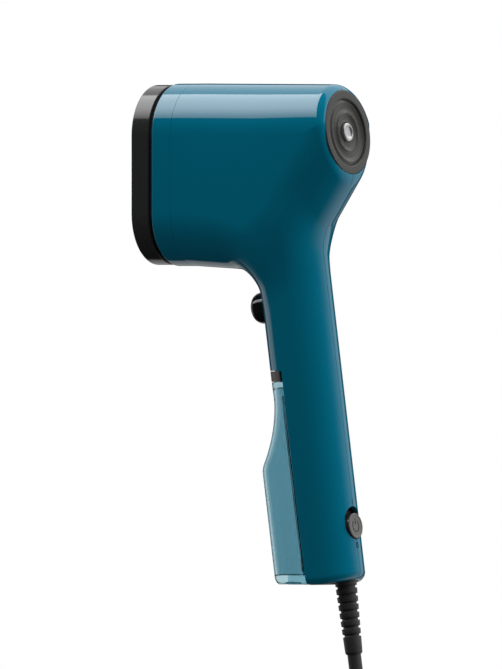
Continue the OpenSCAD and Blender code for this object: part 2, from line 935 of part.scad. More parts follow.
module tank_base() {
    top = tank_foot + base_thick - 0.02;
    round = [for (a = [0:22.5:90]) [tank_foot + foot_round * (1 - sin(a)), foot_round * (1 - cos(a))]];
    color("#6fb3c2", 0.6) difference() {
        loft(concat(
            [tank_loop(top, 0, tank_back)],
            [for (r = round) tank_loop(r[0], r[1] * 0.6, tank_back)]
        ));
        translate([0, filler_y, tank_foot - 1]) cylinder(r = filler_r, h = 10);
        translate([0, filler_y, tank_foot - 1]) cylinder(r = flap_r + 0.3, h = flap_thick + 1.3);
        block([-4.3, 4.3], [filler_y, hinge_y + 2.2], [tank_foot - 1, hinge_z + 1.9]);
        translate([-6.2, hinge_y, hinge_z]) rotate([0, 90, 0]) cylinder(r = hinge_r, h = 12.4);
    }
}

module filler_flap() {
    color("#2f3a3e") difference() {
        union() {
            translate([0, filler_y, tank_foot + 0.1]) cylinder(r = flap_r, h = flap_thick - 0.1);
            block([-3.9, 3.9], [filler_y + 2, hinge_y], [tank_foot + 0.1, tank_foot + flap_thick]);
            translate([-3.9, hinge_y, hinge_z]) rotate([0, 90, 0]) cylinder(r = 1.7, h = 7.8);
        }
        translate([-6, hinge_y, hinge_z]) rotate([0, 90, 0]) cylinder(r = hinge_r + 0.05, h = 12);
    }
}

module flap_pin() {
    color("#b9bbbd") translate([-6, hinge_y, hinge_z]) rotate([0, 90, 0])
    cylinder(r = hinge_r - 0.01, h = 12);
}

module tank_spout() {
    color("#e6e6e2") in_grip() difference() {
        union() {
            rod(spout_r, -tank_back + 0.02, 0.9, 0, seal_up);
            rod(spout_r - 0.65, -tank_back - tank_wall - 5, -tank_back + 0.1, 0, seal_up);
        }
        rod(spout_bore, -20, 2, 0, seal_up);
    }
}

filter_at = [0, foot_y(-11.8), tank_foot + base_thick + 2];
module pickup_tube() {
    low = filter_at + [0, 0, 7.3];
    path = smooth_path([[0, -10.4, -4.1], [0, -10.2, -9], [0, -8, -30], [0, -3.9, -62], low], 4);
    color("#e6e6e2") pipe(path, 1.7, 8);
}

module tank_filter() {
    color("#c9c2a8") translate(filter_at) cylinder(r = 3, h = 6.9);
}

// ---- Latch block above the tank

latch_low = tank_top + 0.25;
latch_travel = 1.5;
module tank_latch() {
    color(trim_grey) loft([
        for (z = [latch_low + latch_h, latch_low])
        tank_loop(z, 0, tank_back + latch_travel + 0.3)
    ]);
}

module latch_spring() {
    z = latch_low + latch_h / 2;
    back = -tank_back - latch_travel;
    color("#c0c2c4") in_grip() translate([0, back, z / tilt_cos + 0.6]) rotate([-90, 0, 0])
    coil_spring(1.6, 0.25, latch_travel - 0.55, 2);
}

module base_cap() {
    color(body_blue) in_grip() difference() {
        intersection() {
            translate([0, 0, -94.6]) cylinder(r = 15.1, h = 3);
            block([-20, 20], [bay_wall_at, 20], [-96, -90]);
        }
        translate([0, cord_in, -100]) cylinder(r = guard_d / 2 + 0.1, h = 20);
    }
}

// ---- Mains lead: guard, hanging stretch, stored coil and plug

guard_tip_r = cord_d / 2 + 0.9;
guard_root = 4;
guard_flange = 1.8;
guard_ribs = 6;
rib_pitch = 5;
guard_end = in_frame(cord_in, -grip_drop - guard_len);
coil_turns_high = 4;
coil_pitch = cord_d + 0.15;
coil_in = 35;
coil_out = 42.3;
coil_at = [-42.3, -8];
tie_thick = 0.9;
tie_slack = 0.65;
tie_half = 6;
coil_low = lay_height + tie_thick;
coil_high = coil_low + coil_turns_high * coil_pitch;

module cord_guard() {
    color("#333435") in_grip() difference() {
        union() {
            translate([0, cord_in, -grip_drop - guard_len])
            cylinder(r1 = guard_tip_r, r2 = guard_d / 2, h = guard_len);
            translate([0, cord_in, -grip_drop]) cylinder(r = guard_d / 2, h = guard_root);
            translate([0, cord_in, -grip_drop + guard_root - 0.1])
            cylinder(r = guard_d / 2 + 1.2, h = guard_flange);
            for (k = [0:guard_ribs - 1])
            translate([0, cord_in, -grip_drop - 7 - rib_pitch * k])
            cylinder(r = guard_d / 2 - 0.32 * k + 0.25, h = 2.2);
        }
        translate([0, cord_in, -grip_drop - guard_len - 1]) cylinder(r = cord_d / 2 + 0.02, h = 60);
    }
}

// Route of the lead from the guard's mouth down to the top of the coil
cord_route = [
    guard_end, [0, 28, -140], [0, 28.6, -146], [0, 28.3, -153], [0, 26.5, -161],
    [0, 22, -169], [0, 14.5, -175.2], [0, 5, -178.4], [0, -8, -179.1]
];
// Route of the lead from the top of the coil's inner turns, over the outer ones, to the plug
tail_route = [
    [-9.8, -20.9, -179], [-17.5, -32.7, -177.5], [-25, -40, -174.5], [-33, -48.3, -171.9],
    [-42, -57.3, -173.2], [-50.6, -65.8, -177.9], [-60, -72, -183], [-70.4, -74, -186.1],
    [-76, -74, -186.5]
];
plug_r = 18.5;
plug_neck = 14;
plug_shoulder = 8;
plug_len = 38;
plug_at = [-76, -74, lay_height + plug_r];

module cord_run() {
    inner = [for (v = [-86, -110, -124]) in_frame(cord_in, v)];
    color("#2b2c2d") {
        pipe(concat(inner, smooth_path(cord_route, 2)), cord_d / 2, 10);
        pipe(smooth_path(tail_route, 3), cord_d / 2, 10, [0, 0, 1]);
    }
}

module cord_coil() {
    color("#2b2c2d") translate([coil_at[0], coil_at[1], coil_low])
    rotate_extrude()
    translate([coil_in - cord_d / 2, 0])
    square([coil_out - coil_in + cord_d, coil_high - coil_low]);
}

// Strap round the coil
module cord_tie() {
    inner = coil_in - cord_d / 2 - tie_slack;
    outer = coil_out + cord_d / 2 + 0.02;
    color("#1c1d1e") translate([coil_at[0], coil_at[1], 0]) difference() {
        block(
            [-outer - tie_thick, -inner + tie_thick], [-tie_half, tie_half],
            [lay_height, coil_high + 0.02 + tie_thick]
        );
        block([-outer, -inner], [-tie_half - 1, tie_half + 1], [coil_low - 0.02, coil_high + 0.02]);
    }
}

// Moulded two-pin plug with grooves for its earth clips, lying on its side
module mains_plug() {
    color("#242526") translate(plug_at) rotate([0, -90, 0]) difference() {
        union() {
            cylinder(r1 = 5, r2 = 8, h = plug_neck);
            translate([0, 0, plug_neck]) cylinder(r1 = 11, r2 = plug_r, h = plug_shoulder);
            translate([0, 0, plug_neck + plug_shoulder])
            cylinder(r = plug_r, h = plug_len - plug_neck - plug_shoulder);
        }
        for (side = [-1, 1])
        translate([side * 17, 0, 0]) block([-3, 3], [-2.5, 2.5], [plug_len - 10, plug_len + 2]);
    }
}

pin_r = 2.4;
pin_spread = 9.5;
pin_len = 19;
module plug_pins() {
    color("#b9bbbd") translate(plug_at) rotate([0, -90, 0])
    for (side = [-1, 1])
    translate([0, side * pin_spread, plug_len + 0.01]) cylinder(r = pin_r, h = pin_len);
}

left_shell();
right_shell();
front_collar();
plate_rim();
rim_neck();
steam_plate();
chamber_gasket();
steam_chamber();
heating_element();
element_terminals();
heater_clamps();
thermostat();
thermal_fuse();
heat_shield();
steam_inlet();
plate_screws();
pump_body();
pump_winding();
pump_core();
pump_spring();
pump_mounts();
inlet_hose();
outlet_hose();
hose_clips();
rear_disc();
disc_centre();
trigger();
trigger_spring();
micro_switch();
switch_plunger();
power_slider();
slider_insert();
slide_switch();
circuit_board();
board_parts();
terminal_block();
internal_wires();
cord_clamp();
clamp_screws();
cradle();
cradle_screws();
tank_seal();
tank_shell();
tank_base();
tank_spout();
pickup_tube();
tank_filter();
filler_flap();
flap_pin();
tank_latch();
latch_spring();
base_cap();
cord_guard();
cord_run();
cord_coil();
cord_tie();
mains_plug();
plug_pins();
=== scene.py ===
"""Looks of the handheld garment steamer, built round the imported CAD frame.

Shapes are worked out in millimetres, in the CAD's frame: +Z up, -Y out of the steam plate, +X the
object's left. They turn into metres when a mesh is made.
"""

import json
import math

import bmesh
import bpy
import numpy as np
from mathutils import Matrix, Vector

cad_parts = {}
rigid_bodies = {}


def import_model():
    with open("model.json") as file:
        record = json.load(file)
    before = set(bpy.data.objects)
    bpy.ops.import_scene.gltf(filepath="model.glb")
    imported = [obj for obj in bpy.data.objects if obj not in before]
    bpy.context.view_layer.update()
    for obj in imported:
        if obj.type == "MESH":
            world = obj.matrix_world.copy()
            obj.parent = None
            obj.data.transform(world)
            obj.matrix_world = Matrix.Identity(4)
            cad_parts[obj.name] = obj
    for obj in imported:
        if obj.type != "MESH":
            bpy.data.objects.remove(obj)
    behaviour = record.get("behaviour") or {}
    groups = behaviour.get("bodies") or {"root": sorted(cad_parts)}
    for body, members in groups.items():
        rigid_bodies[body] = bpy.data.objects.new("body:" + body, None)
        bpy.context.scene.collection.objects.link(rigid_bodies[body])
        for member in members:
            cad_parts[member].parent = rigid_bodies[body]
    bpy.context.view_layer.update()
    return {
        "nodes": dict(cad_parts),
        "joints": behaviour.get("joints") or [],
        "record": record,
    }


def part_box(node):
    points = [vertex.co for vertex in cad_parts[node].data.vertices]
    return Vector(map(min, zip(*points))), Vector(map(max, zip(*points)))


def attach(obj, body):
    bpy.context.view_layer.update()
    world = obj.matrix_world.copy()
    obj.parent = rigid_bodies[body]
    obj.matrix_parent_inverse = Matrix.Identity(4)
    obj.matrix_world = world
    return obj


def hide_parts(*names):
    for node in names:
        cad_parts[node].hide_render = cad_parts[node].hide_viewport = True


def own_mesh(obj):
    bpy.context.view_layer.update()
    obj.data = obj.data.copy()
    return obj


MM = 0.001

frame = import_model()
joints = {joint["name"]: joint for joint in frame["joints"]}


def box_mm(node):
    """Lowest and highest corner of a CAD node, in millimetres."""
    low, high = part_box(node)
    return np.array(low) / MM, np.array(high) / MM


# ---- Sizes, from the frame where it holds them

rim_low, rim_high = box_mm("plate_rim")
collar_low, collar_high = box_mm("front_collar")
PLATE_Y = rim_low[1]
RIM_BACK = rim_high[1]
BODY_FRONT = collar_low[1]
COLLAR_BACK = collar_high[1]
HEAD_R = collar_high[0]
HEAD_TOP = collar_high[2]
HEAD_FOOT = collar_low[2]
HEAD_MID = (HEAD_TOP + HEAD_FOOT) / 2
TILT_SIN = -joints["power_slide"]["axis"][1]
TILT_COS = joints["power_slide"]["axis"][2]
TILT = math.degrees(math.asin(TILT_SIN))

GRIP_W = 35.0
GRIP_D = 36.6
GRIP_DROP = 95.0
WALL = 2.2
DISC_BACK = 41.0
DISC_UP = 130.2
DISC_R = 21.5
DISC_SEAT = 2.3
TRIGGER_UP = 48.4
TRIGGER_R = 8.2
TRIGGER_PROUD = 7.5
SLIDER_R = 6.6
SLIDER_UP = -68.5
SLIDER_TRAVEL = joints["power_slide"]["range_m"][1] / MM
BAY_WALL = -4.5
BAY_TOP = 13.2
TANK_BACK = 4.9
TANK_WALL = 1.8
TANK_FOOT = box_mm("tank_base")[0][2]
BASE_TOP = box_mm("tank_base")[1][2]


# ---- Placing: the grip's own coordinates are x, u behind its axis and v up along it

def points_of(*coordinates):
    """Points from a number or an array for each coordinate."""
    return np.stack(np.broadcast_arrays(*coordinates), axis=-1)


def in_grip(x, u, v):
    """Points in the grip's coordinates as points in the frame."""
    return points_of(x, u * TILT_COS - v * TILT_SIN, u * TILT_SIN + v * TILT_COS)


def across(y, z):
    return y * TILT_COS + z * TILT_SIN


def along(y, z):
    return -y * TILT_SIN + z * TILT_COS


# ---- Camera: level, and a little behind square to the object's left side

VIEW_AZIMUTH = math.radians(121.35)
VIEW_DISTANCE = 12.0
VIEW_AIM = Vector((0, -0.0346, 0.0317))
VIEW_TALL = 0.3405


def linked(name, data):
    """New object in the scene."""
    thing = bpy.data.objects.new(name, data)
    bpy.context.scene.collection.objects.link(thing)
    return thing


def make_camera():
    data = bpy.data.cameras.new("camera")
    camera = linked("camera", data)
    back = Vector((math.sin(VIEW_AZIMUTH), -math.cos(VIEW_AZIMUTH), 0))
    camera.location = VIEW_AIM + back * VIEW_DISTANCE
    camera.rotation_euler = (-back).to_track_quat("-Z", "Y").to_euler()
    data.sensor_width = 36
    data.lens = data.sensor_width * VIEW_DISTANCE / VIEW_TALL
    data.clip_start = 0.05
    data.clip_end = 50
    bpy.context.scene.camera = camera


make_camera()


# ---- Meshes

def shade(mesh, angle):
    """Smooth shading, with edges sharper than angle degrees kept sharp."""
    mesh.shade_smooth()
    mesh.set_sharp_from_angle(angle=math.radians(angle))


def new_piece(name, points, faces, smooth=35):
    """Mesh object from points in millimetres; edges sharper than smooth degrees stay sharp."""
    mesh = bpy.data.meshes.new(name)
    mesh.from_pydata((np.asarray(points, float).reshape(-1, 3) * MM).tolist(), [], faces)
    work = bmesh.new()
    work.from_mesh(mesh)
    bmesh.ops.remove_doubles(work, verts=work.verts, dist=1e-6)
    bmesh.ops.recalc_face_normals(work, faces=work.faces)
    work.to_mesh(mesh)
    work.free()
    shade(mesh, smooth)
    return linked(name, mesh)


def flat_sides(piece):
    """Keeps flat faces flat in the shading next to their rounded edges."""
    piece.modifiers.new("normals", "WEIGHTED_NORMAL").keep_sharp = True
    return piece


def settle(piece, body, slot, *replaced):
    """Puts a piece on its body, with its finish, in place of CAD nodes."""
    piece.data.materials.clear()
    piece.data.materials.append(finish_of(slot))
    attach(piece, body)
    if replaced:
        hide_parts(*replaced)
    return piece


def made(name, solid, body, slot, *replaced, smooth=35):
    """Piece from a solid's points and faces, settled."""
    return settle(new_piece(name, *solid, smooth=smooth), body, slot, *replaced)


def grid(rows, columns, wrap_rows=False):
    """Quads over closed rows of points that are numbered row by row."""
    j, k = np.meshgrid(np.arange(rows if wrap_rows else rows - 1), np.arange(columns), indexing="ij")
    j2, k2 = (j + 1) % rows, (k + 1) % columns
    quads = [j * columns + k, j * columns + k2, j2 * columns + k2, j2 * columns + k]
    return np.stack(quads, axis=-1).reshape(-1, 4).tolist()


def loft(loops, ends=True):
    """Points and faces through loops of equal length, with a flat face on both ends."""
    loops = np.asarray(loops, float)
    rows, columns = loops.shape[:2]
    faces = grid(rows, columns)
    if ends:
        faces.append(list(range(columns))[::-1])
        faces.append([(rows - 1) * columns + k for k in range(columns)])
    return loops.reshape(-1, 3), faces


def ring_of(loops):
    """Points and faces through loops of equal length, the last one joined to the first."""
    loops = np.asarray(loops, float)
    return loops.reshape(-1, 3), grid(*loops.shape[:2], wrap_rows=True)


def mirrored(half):
    """Closed sections from their left halves, which begin and end on the middle plane."""
    return np.concatenate([half, half[:, -2:0:-1] * [-1, 1, 1]], axis=1)


def end_strips(rows, columns, turn):
    """Faces that close both ends of a loft from side to side; point k lies opposite point turn - k."""
    faces = []
    for start in (0, (rows - 1) * columns):
        for k in range(turn, (columns + turn) // 2):
            corners = (k, k + 1, (turn - k - 1) % columns, (turn - k) % columns)
            faces.append([start + corner for corner in dict.fromkeys(corners)])
    return faces


def joined(*parts):
    """Several lots of points and faces as one."""
    points, faces, count = [], [], 0
    for some_points, some_faces in parts:
        some_points = np.asarray(some_points, float).reshape(-1, 3)
        points.append(some_points)
        faces += [[k + count for k in face] for face in some_faces]
        count += len(some_points)
    return np.concatenate(points), faces


def full_turn(steps):
    return np.arange(steps) * 2 * math.pi / steps


def quarter(steps):
    return np.linspace(0, math.pi / 2, steps)


def polar(radius, turn):
    return points_of(radius * np.cos(turn), radius * np.sin(turn))


def oblong(a_low, a_high, b_low, b_high):
    """Outline of a rectangle."""
    return np.array([(a_low, b_low), (a_high, b_low), (a_high, b_high), (a_low, b_high)])


def rounded(corners, radii, steps=5, closed=True):
    """Outline with arcs in place of its corners."""
    corners = [np.asarray(c, float) for c in corners]
    count = len(corners)
    if np.isscalar(radii):
        radii = [radii] * count
    points = []
    for k, corner in enumerate(corners):
        open_end = not closed and k in (0, count - 1)
        if radii[k] <= 0 or open_end:
            points.append(corner)
            continue
        before = corners[k - 1] - corner
        after = corners[(k + 1) % count] - corner
        before, after = before / np.linalg.norm(before), after / np.linalg.norm(after)
        half = math.acos(np.clip(before @ after, -1, 1)) / 2
        if half > math.radians(89):
            points.append(corner)
            continue
        start = corner + before * radii[k] / math.tan(half)
        middle = corner + (before + after) / np.linalg.norm(before + after) * radii[k] / math.sin(half)
        from_middle = start - middle
        turn = math.pi - 2 * half
        side = 1 if before[0] * after[1] - before[1] * after[0] < 0 else -1
        for step in range(steps + 1):
            a = side * turn * step / steps
            spin = np.array([[math.cos(a), -math.sin(a)], [math.sin(a), math.cos(a)]])
            points.append(middle + spin @ from_middle)
    return np.array(points)


def lathe(profile, steps):
    """A closed profile (radius, h) turned about an axis: points as arrays of x, y and h, and faces."""
    r, h = np.asarray(profile, float).T[..., None]
    turn = full_turn(steps)
    return (r * np.cos(turn), r * np.sin(turn), h), grid(len(profile), steps, wrap_rows=True)


def on_grip_lathe(profile, up, steps=128):
    """A profile (radius, u) turned about an axis that runs across the grip at a height along it."""
    (x, v, u), faces = lathe(profile, steps)
    return in_grip(x, u, v + up), faces


def cut(piece, cutters):
    """Takes closed solids, as (points, faces), out of a piece."""
    for number, (points, faces) in enumerate(cutters):
        tool = new_piece(f"cutter_{number}", points, faces)
        modifier = piece.modifiers.new("cut", "BOOLEAN")
        modifier.operation = "DIFFERENCE"
        modifier.solver = "MANIFOLD"
        modifier.object = tool
        bpy.context.view_layer.update()
        result = piece.evaluated_get(bpy.context.evaluated_depsgraph_get())
        mesh = bpy.data.meshes.new_from_object(result)
        piece.modifiers.clear()
        old, piece.data = piece.data, mesh
        bpy.data.meshes.remove(old)
        bpy.data.objects.remove(tool)


def polygon_prism(outline, low, high, place):
    """Solid between two copies of an outline of (a, b) points; place makes points from a, b, height."""
    return loft([place(*np.asarray(outline, float).T, h) for h in (low, high)])


def rod(radius, middle, low, high, place, steps=128):
    """Solid cylinder round a middle (a, b)."""
    return polygon_prism(polar(radius, full_turn(steps)) + middle, low, high, place)


def slot_outline(radius, low, high, steps=48):
    """Outline with half-round ends, upright, round two centres at x = 0."""
    turn = np.linspace(0, math.pi, steps)
    return np.concatenate([polar(radius, turn) + [0, high], polar(-radius, turn) + [0, low]])


def across_grip(x, v, u):
    """Place for a prism that runs across the grip."""
    return in_grip(x, u, v)


def level_across(x, z, u):
    """Place for a prism with its outline in X and Z, which runs across the grip from u to u."""
    return points_of(x, (u - z * TILT_SIN) / TILT_COS, z)


def along_x(y, z, x):
    """Place for a prism that lies along X."""
    return points_of(x, y, z)


# ---- Materials: each is a principled shader whose colour, roughness and bump vary a little

def shader_nodes(name):
    material = bpy.data.materials.new(name)
    material.use_nodes = True
    tree = material.node_tree
    tree.nodes.clear()
    shader = tree.nodes.new("ShaderNodeBsdfPrincipled")
    output = tree.nodes.new("ShaderNodeOutputMaterial")
    tree.links.new(shader.outputs["BSDF"], output.inputs["Surface"])
    return material, tree, shader


def fill(node, **values):
    """Sets a node's inputs; a name's underscores stand for spaces."""
    for name, value in values.items():
        node.inputs[name.replace("_", " ")].default_value = value


def object_noise(tree, scale, detail=3, stretch=(1, 1, 1)):
    coordinates = tree.nodes.new("ShaderNodeTexCoord")
    mapping = tree.nodes.new("ShaderNodeMapping")
    fill(mapping, Scale=stretch)
    noise = tree.nodes.new("ShaderNodeTexNoise")
    fill(noise, Scale=scale, Detail=detail)
    tree.links.new(coordinates.outputs["Object"], mapping.inputs["Vector"])
    tree.links.new(mapping.outputs["Vector"], noise.inputs["Vector"])
    return noise


BUMP_DEPTH = 0.0001


def surface(name, colour, roughness, metallic=0.0, coat=0.0, vary=0.05, rough_vary=0.05,
            grain=900.0, bump=0.02, stretch=(1, 1, 1), ior=1.5, transmission=0.0, blotch=25.0):
    """Material with a slow colour change, a finer change of gloss and a surface grain."""
    material, tree, shader = shader_nodes(name)
    fill(shader, Metallic=metallic, IOR=ior, Coat_Weight=coat, Coat_Roughness=0.03,
         Transmission_Weight=transmission)
    blotches = object_noise(tree, blotch, 4)
    mix = tree.nodes.new("ShaderNodeMix")
    mix.data_type = "RGBA"
    fill(mix, A=[c * (1 - vary) for c in colour] + [1], B=[min(1, c * (1 + vary)) for c in colour] + [1])
    tree.links.new(blotches.outputs["Fac"], mix.inputs["Factor"])
    tree.links.new(mix.outputs["Result"], shader.inputs["Base Color"])
    gloss = object_noise(tree, blotch * 6, 5, stretch)
    limits = tree.nodes.new("ShaderNodeMapRange")
    fill(limits, From_Min=0.3, From_Max=0.7, To_Min=max(0, roughness - rough_vary),
         To_Max=roughness + rough_vary)
    tree.links.new(gloss.outputs["Fac"], limits.inputs["Value"])
    tree.links.new(limits.outputs["Result"], shader.inputs["Roughness"])
    if bump:
        fine = object_noise(tree, grain, 2, stretch)
        relief = tree.nodes.new("ShaderNodeBump")
        fill(relief, Strength=bump, Distance=BUMP_DEPTH)
        tree.links.new(fine.outputs["Fac"], relief.inputs["Height"])
        tree.links.new(relief.outputs["Normal"], shader.inputs["Normal"])
    return material


FINISHES = {
    "casing_blue": dict(colour=(0.0, 0.088, 0.142), roughness=0.06, coat=0.35, vary=0.02,
                        rough_vary=0.012, grain=260, bump=0.006),
    # trim_black also paints shade: the slider's skirt and the plate in the gap above the latch.
    "trim_black": dict(colour=(0.016, 0.0165, 0.017), roughness=0.13, coat=0.3, rough_vary=0.02,
                       grain=400, bump=0.01),
    "neck_black": dict(colour=(0.006, 0.006, 0.006), roughness=0.55, grain=1500, bump=0.15),
    "plate_metal": dict(colour=(0.72, 0.73, 0.74), roughness=0.2, metallic=1.0, rough_vary=0.06,
                        grain=500, bump=0.12, stretch=(1, 1, 0.04)),
    "cast_metal": dict(colour=(0.5, 0.5, 0.51), roughness=0.5, metallic=1.0, grain=800, bump=0.4),
    "steel": dict(colour=(0.6, 0.6, 0.61), roughness=0.28, metallic=1.0, stretch=(1, 1, 0.1)),
    "brass": dict(colour=(0.69, 0.52, 0.25), roughness=0.25, metallic=1.0, stretch=(1, 1, 0.1)),
    "copper": dict(colour=(0.62, 0.25, 0.1), roughness=0.3, metallic=1.0, coat=0.5,
                   grain=1800, bump=0.6, stretch=(0.05, 0.05, 1)),
    "gasket_red": dict(colour=(0.42, 0.09, 0.05), roughness=0.5, grain=1200, bump=0.1),
    "silicone": dict(colour=(0.8, 0.8, 0.76), roughness=0.35, transmission=0.35, grain=900),
    "rubber_black": dict(colour=(0.022, 0.022, 0.023), roughness=0.55, grain=1400, bump=0.15),
    "mica": dict(colour=(0.58, 0.5, 0.34), roughness=0.42, vary=0.2, blotch=120, bump=0.3),
    "inner_white": dict(colour=(0.78, 0.78, 0.75), roughness=0.42, grain=1100, bump=0.06),
    "switch_dark": dict(colour=(0.035, 0.04, 0.055), roughness=0.4, grain=1200, bump=0.1),
    "plunger_red": dict(colour=(0.55, 0.03, 0.02), roughness=0.35),
    "disc_grey": dict(colour=(0.025, 0.0245, 0.023), roughness=0.27, rough_vary=0.04, grain=1600,
                      bump=0.05),
    "disc_metal": dict(colour=(0.7, 0.7, 0.71), roughness=0.27, metallic=1.0, rough_vary=0.05,
                       grain=600, bump=0.04),
    "trigger_black": dict(colour=(0.006, 0.006, 0.007), roughness=0.07, coat=0.4, rough_vary=0.015,
                          grain=300, bump=0.006),
    "slider_grey": dict(colour=(0.068, 0.067, 0.064), roughness=0.42, grain=1700, bump=0.08),
    "mark_navy": dict(colour=(0.0, 0.012, 0.024), roughness=0.7, ior=1.1, grain=700),
    "board_green": dict(colour=(0.03, 0.14, 0.06), roughness=0.3, coat=0.3, vary=0.15, blotch=300),
    "wire_red": dict(colour=(0.38, 0.03, 0.02), roughness=0.4),
    "tank_clear": dict(colour=(0.285, 0.49, 0.56), roughness=0.05, transmission=1.0, ior=1.18, coat=0.7,
                       vary=0.06, rough_vary=0.02, grain=200, bump=0.01, blotch=14),
    "weld_teal": dict(colour=(0.015, 0.11, 0.14), roughness=0.3, coat=0.2),
    "base_clear": dict(colour=(0.42, 0.63, 0.69), roughness=0.06, transmission=1.0, ior=1.18, coat=0.7,
                       vary=0.03, rough_vary=0.02, grain=200, bump=0.01),
    "latch_grey": dict(colour=(0.042, 0.04, 0.038), roughness=0.4, rough_vary=0.04, grain=900,
                       bump=0.04),
    "cord_black": dict(colour=(0.017, 0.017, 0.018), roughness=0.42, rough_vary=0.07, grain=1300,
                       bump=0.12),
    "plug_black": dict(colour=(0.016, 0.016, 0.017), roughness=0.45, grain=1500, bump=0.18),
    "pin_metal": dict(colour=(0.78, 0.77, 0.74), roughness=0.16, metallic=1.0, stretch=(0.1, 1, 1)),
}
made_finishes = {}


def finish_of(slot):
    if slot not in made_finishes:
        made_finishes[slot] = surface(slot, **FINISHES[slot])
    return made_finishes[slot]


# ---- Mains lead: guard, hanging stretch, stored coil, tie and plug

CORD_D = 7.0
CORD_IN = 9.0
GUARD_LEN = 38.0
GUARD_R = 5.6
GUARD_TIP_R = CORD_D / 2 + 0.9
COIL_AT = np.array([-42.3, -8.0])
COIL_OUT = 42.3
COIL_IN = 35.0
COIL_PITCH = 7.15
COIL_LOW, COIL_HIGH = box_mm("cord_coil")[0][2], box_mm("cord_coil")[1][2]
LAY_HEIGHT = box_mm("cord_tie")[0][2]
PLUG_R = 18.5
PLUG_AT = np.array([-76.0, -74.0, LAY_HEIGHT + PLUG_R])
guard_end = in_grip(0, CORD_IN, -GRIP_DROP - GUARD_LEN)

# The lead's route where it isn't coiled, as in the CAD source
lead_in = [
    (0, 28, -140), (0, 28.6, -146), (0, 28.3, -153), (0, 26.5, -161),
    (0, 22, -169), (0, 14.5, -175.2), (0, 5, -178.4), (0, -8, -179.1),
]
lead_out = [
    (-9.8, -20.9, -179), (-17.5, -32.7, -177.5), (-25, -40, -174.5), (-33, -48.3, -171.9),
    (-42, -57.3, -173.2), (-50.6, -65.8, -177.9), (-60, -72, -183), (-70.4, -74, -186.1),
    (-76, -74, -186.5),
]

# Shares of a turn over which the winding changes layer or column
STEP_DOWN = (0.80, 0.95)
MOVE_IN = (0.48, 0.78)
STEP_UP = (0.24, 0.46)
OUTER_LAYERS = 4
COIL_END = 7.06


def swing(zone, t):
    """Smooth change from 0 to 1 over a zone."""
    s = min(max((t - zone[0]) / (zone[1] - zone[0]), 0), 1)
    return (1 - math.cos(math.pi * s)) / 2


def coil_point(t):
    """Centre of the lead after t turns, clockwise from above, outer column down and inner column up."""
    top = COIL_HIGH - CORD_D / 2 - 0.15
    last = OUTER_LAYERS - 1
    turned_in = last + MOVE_IN[1]
    radius = COIL_OUT + (COIL_IN - COIL_OUT) * swing((last + MOVE_IN[0], turned_in), t)
    layer = sum(swing((k + STEP_DOWN[0], k + STEP_DOWN[1]), t) for k in range(last))
    layer -= sum(swing((last + 1 + k + STEP_UP[0], last + 1 + k + STEP_UP[1]), t) for k in range(last))
    angle = -2 * math.pi * t
    x, y = COIL_AT + radius * np.array([math.cos(angle), math.sin(angle)])
    return (x, y, top - COIL_PITCH * layer)


def smooth_path(points, steps):
    """Smooth curve through points, each stretch cut into steps."""
    p = [np.asarray(q, float) for q in points]
    made = []
    for j in range(len(p) - 1):
        before, after = p[max(j - 1, 0)], p[min(j + 2, len(p) - 1)]
        for k in range(steps):
            t = k / steps
            made.append(0.5 * (
                2 * p[j] + (p[j + 1] - before) * t
                + (2 * before - 5 * p[j] + 4 * p[j + 1] - after) * t * t
                + (3 * p[j] - before - 3 * p[j + 1] + after) * t ** 3
            ))
    made.append(p[-1])
    return made


def cord_points():
    steps_a_turn = 64
    count = int(COIL_END * steps_a_turn)
    winding = [coil_point(k / steps_a_turn) for k in range(1, count)]
    # A few of the winding's own points steer the smooth stretches into it and out of it
    start = smooth_path([guard_end] + lead_in + [winding[3]], 8)[:-8]
    end = smooth_path([winding[-4]] + lead_out, 8)[8:]
    return start + [np.array(p) for p in winding[:-3]] + end


def relaxed(points, rounds=12):
    """Points evened out a little, with both ends kept."""
    p = np.array(points)
    for _ in range(rounds):
        p[1:-1] = p[1:-1] + 0.5 * ((p[:-2] + p[2:]) / 2 - p[1:-1])
    return p


def make_cord():
    centre = relaxed(cord_points())
    curve = bpy.data.curves.new("mains_lead", "CURVE")
    curve.dimensions = "3D"
    curve.bevel_depth = CORD_D / 2 * MM
    curve.bevel_resolution = 5
    curve.use_fill_caps = True
    spline = curve.splines.new("POLY")
    spline.points.add(len(centre) - 1)
    for point, place in zip(spline.points, centre):
        point.co = (*(place * MM), 1)
    spline.use_smooth = True
    cord = linked("mains_lead", curve)
    length = float(np.linalg.norm(np.diff(centre, axis=0), axis=1).sum()) * MM
    return settle(cord, "casing", "cord_black", "cord_run", "cord_coil"), length


def make_guard():
    """Tapered strain relief with slots round it."""
    outline = [(CORD_D / 2 + 0.05, 0), (GUARD_R, 0)]
    ribs = 7
    rib = 2.6
    gap = 1.5
    at = 3.0
    for k in range(ribs):
        taper = (at + 1) / GUARD_LEN
        radius = GUARD_R + (GUARD_TIP_R - GUARD_R) * taper
        outline += [(radius, -at), (radius - 0.9, -at - 0.3), (radius - 0.9, -at - gap + 0.3),
                    (radius, -at - gap)]
        at += gap + rib
    outline += [(GUARD_TIP_R, -GUARD_LEN + 0.8), (GUARD_TIP_R - 0.6, -GUARD_LEN),
                (CORD_D / 2 + 0.05, -GUARD_LEN)]
    profile = rounded(outline, [0, 0] + [0.25] * (4 * ribs) + [0.5, 0.3, 0], steps=3)
    (x, u, v), faces = lathe(profile, 72)
    solid = in_grip(x, u + CORD_IN, v - GRIP_DROP), faces
    return made("strain_relief", solid, "casing", "cord_black", "cord_guard")


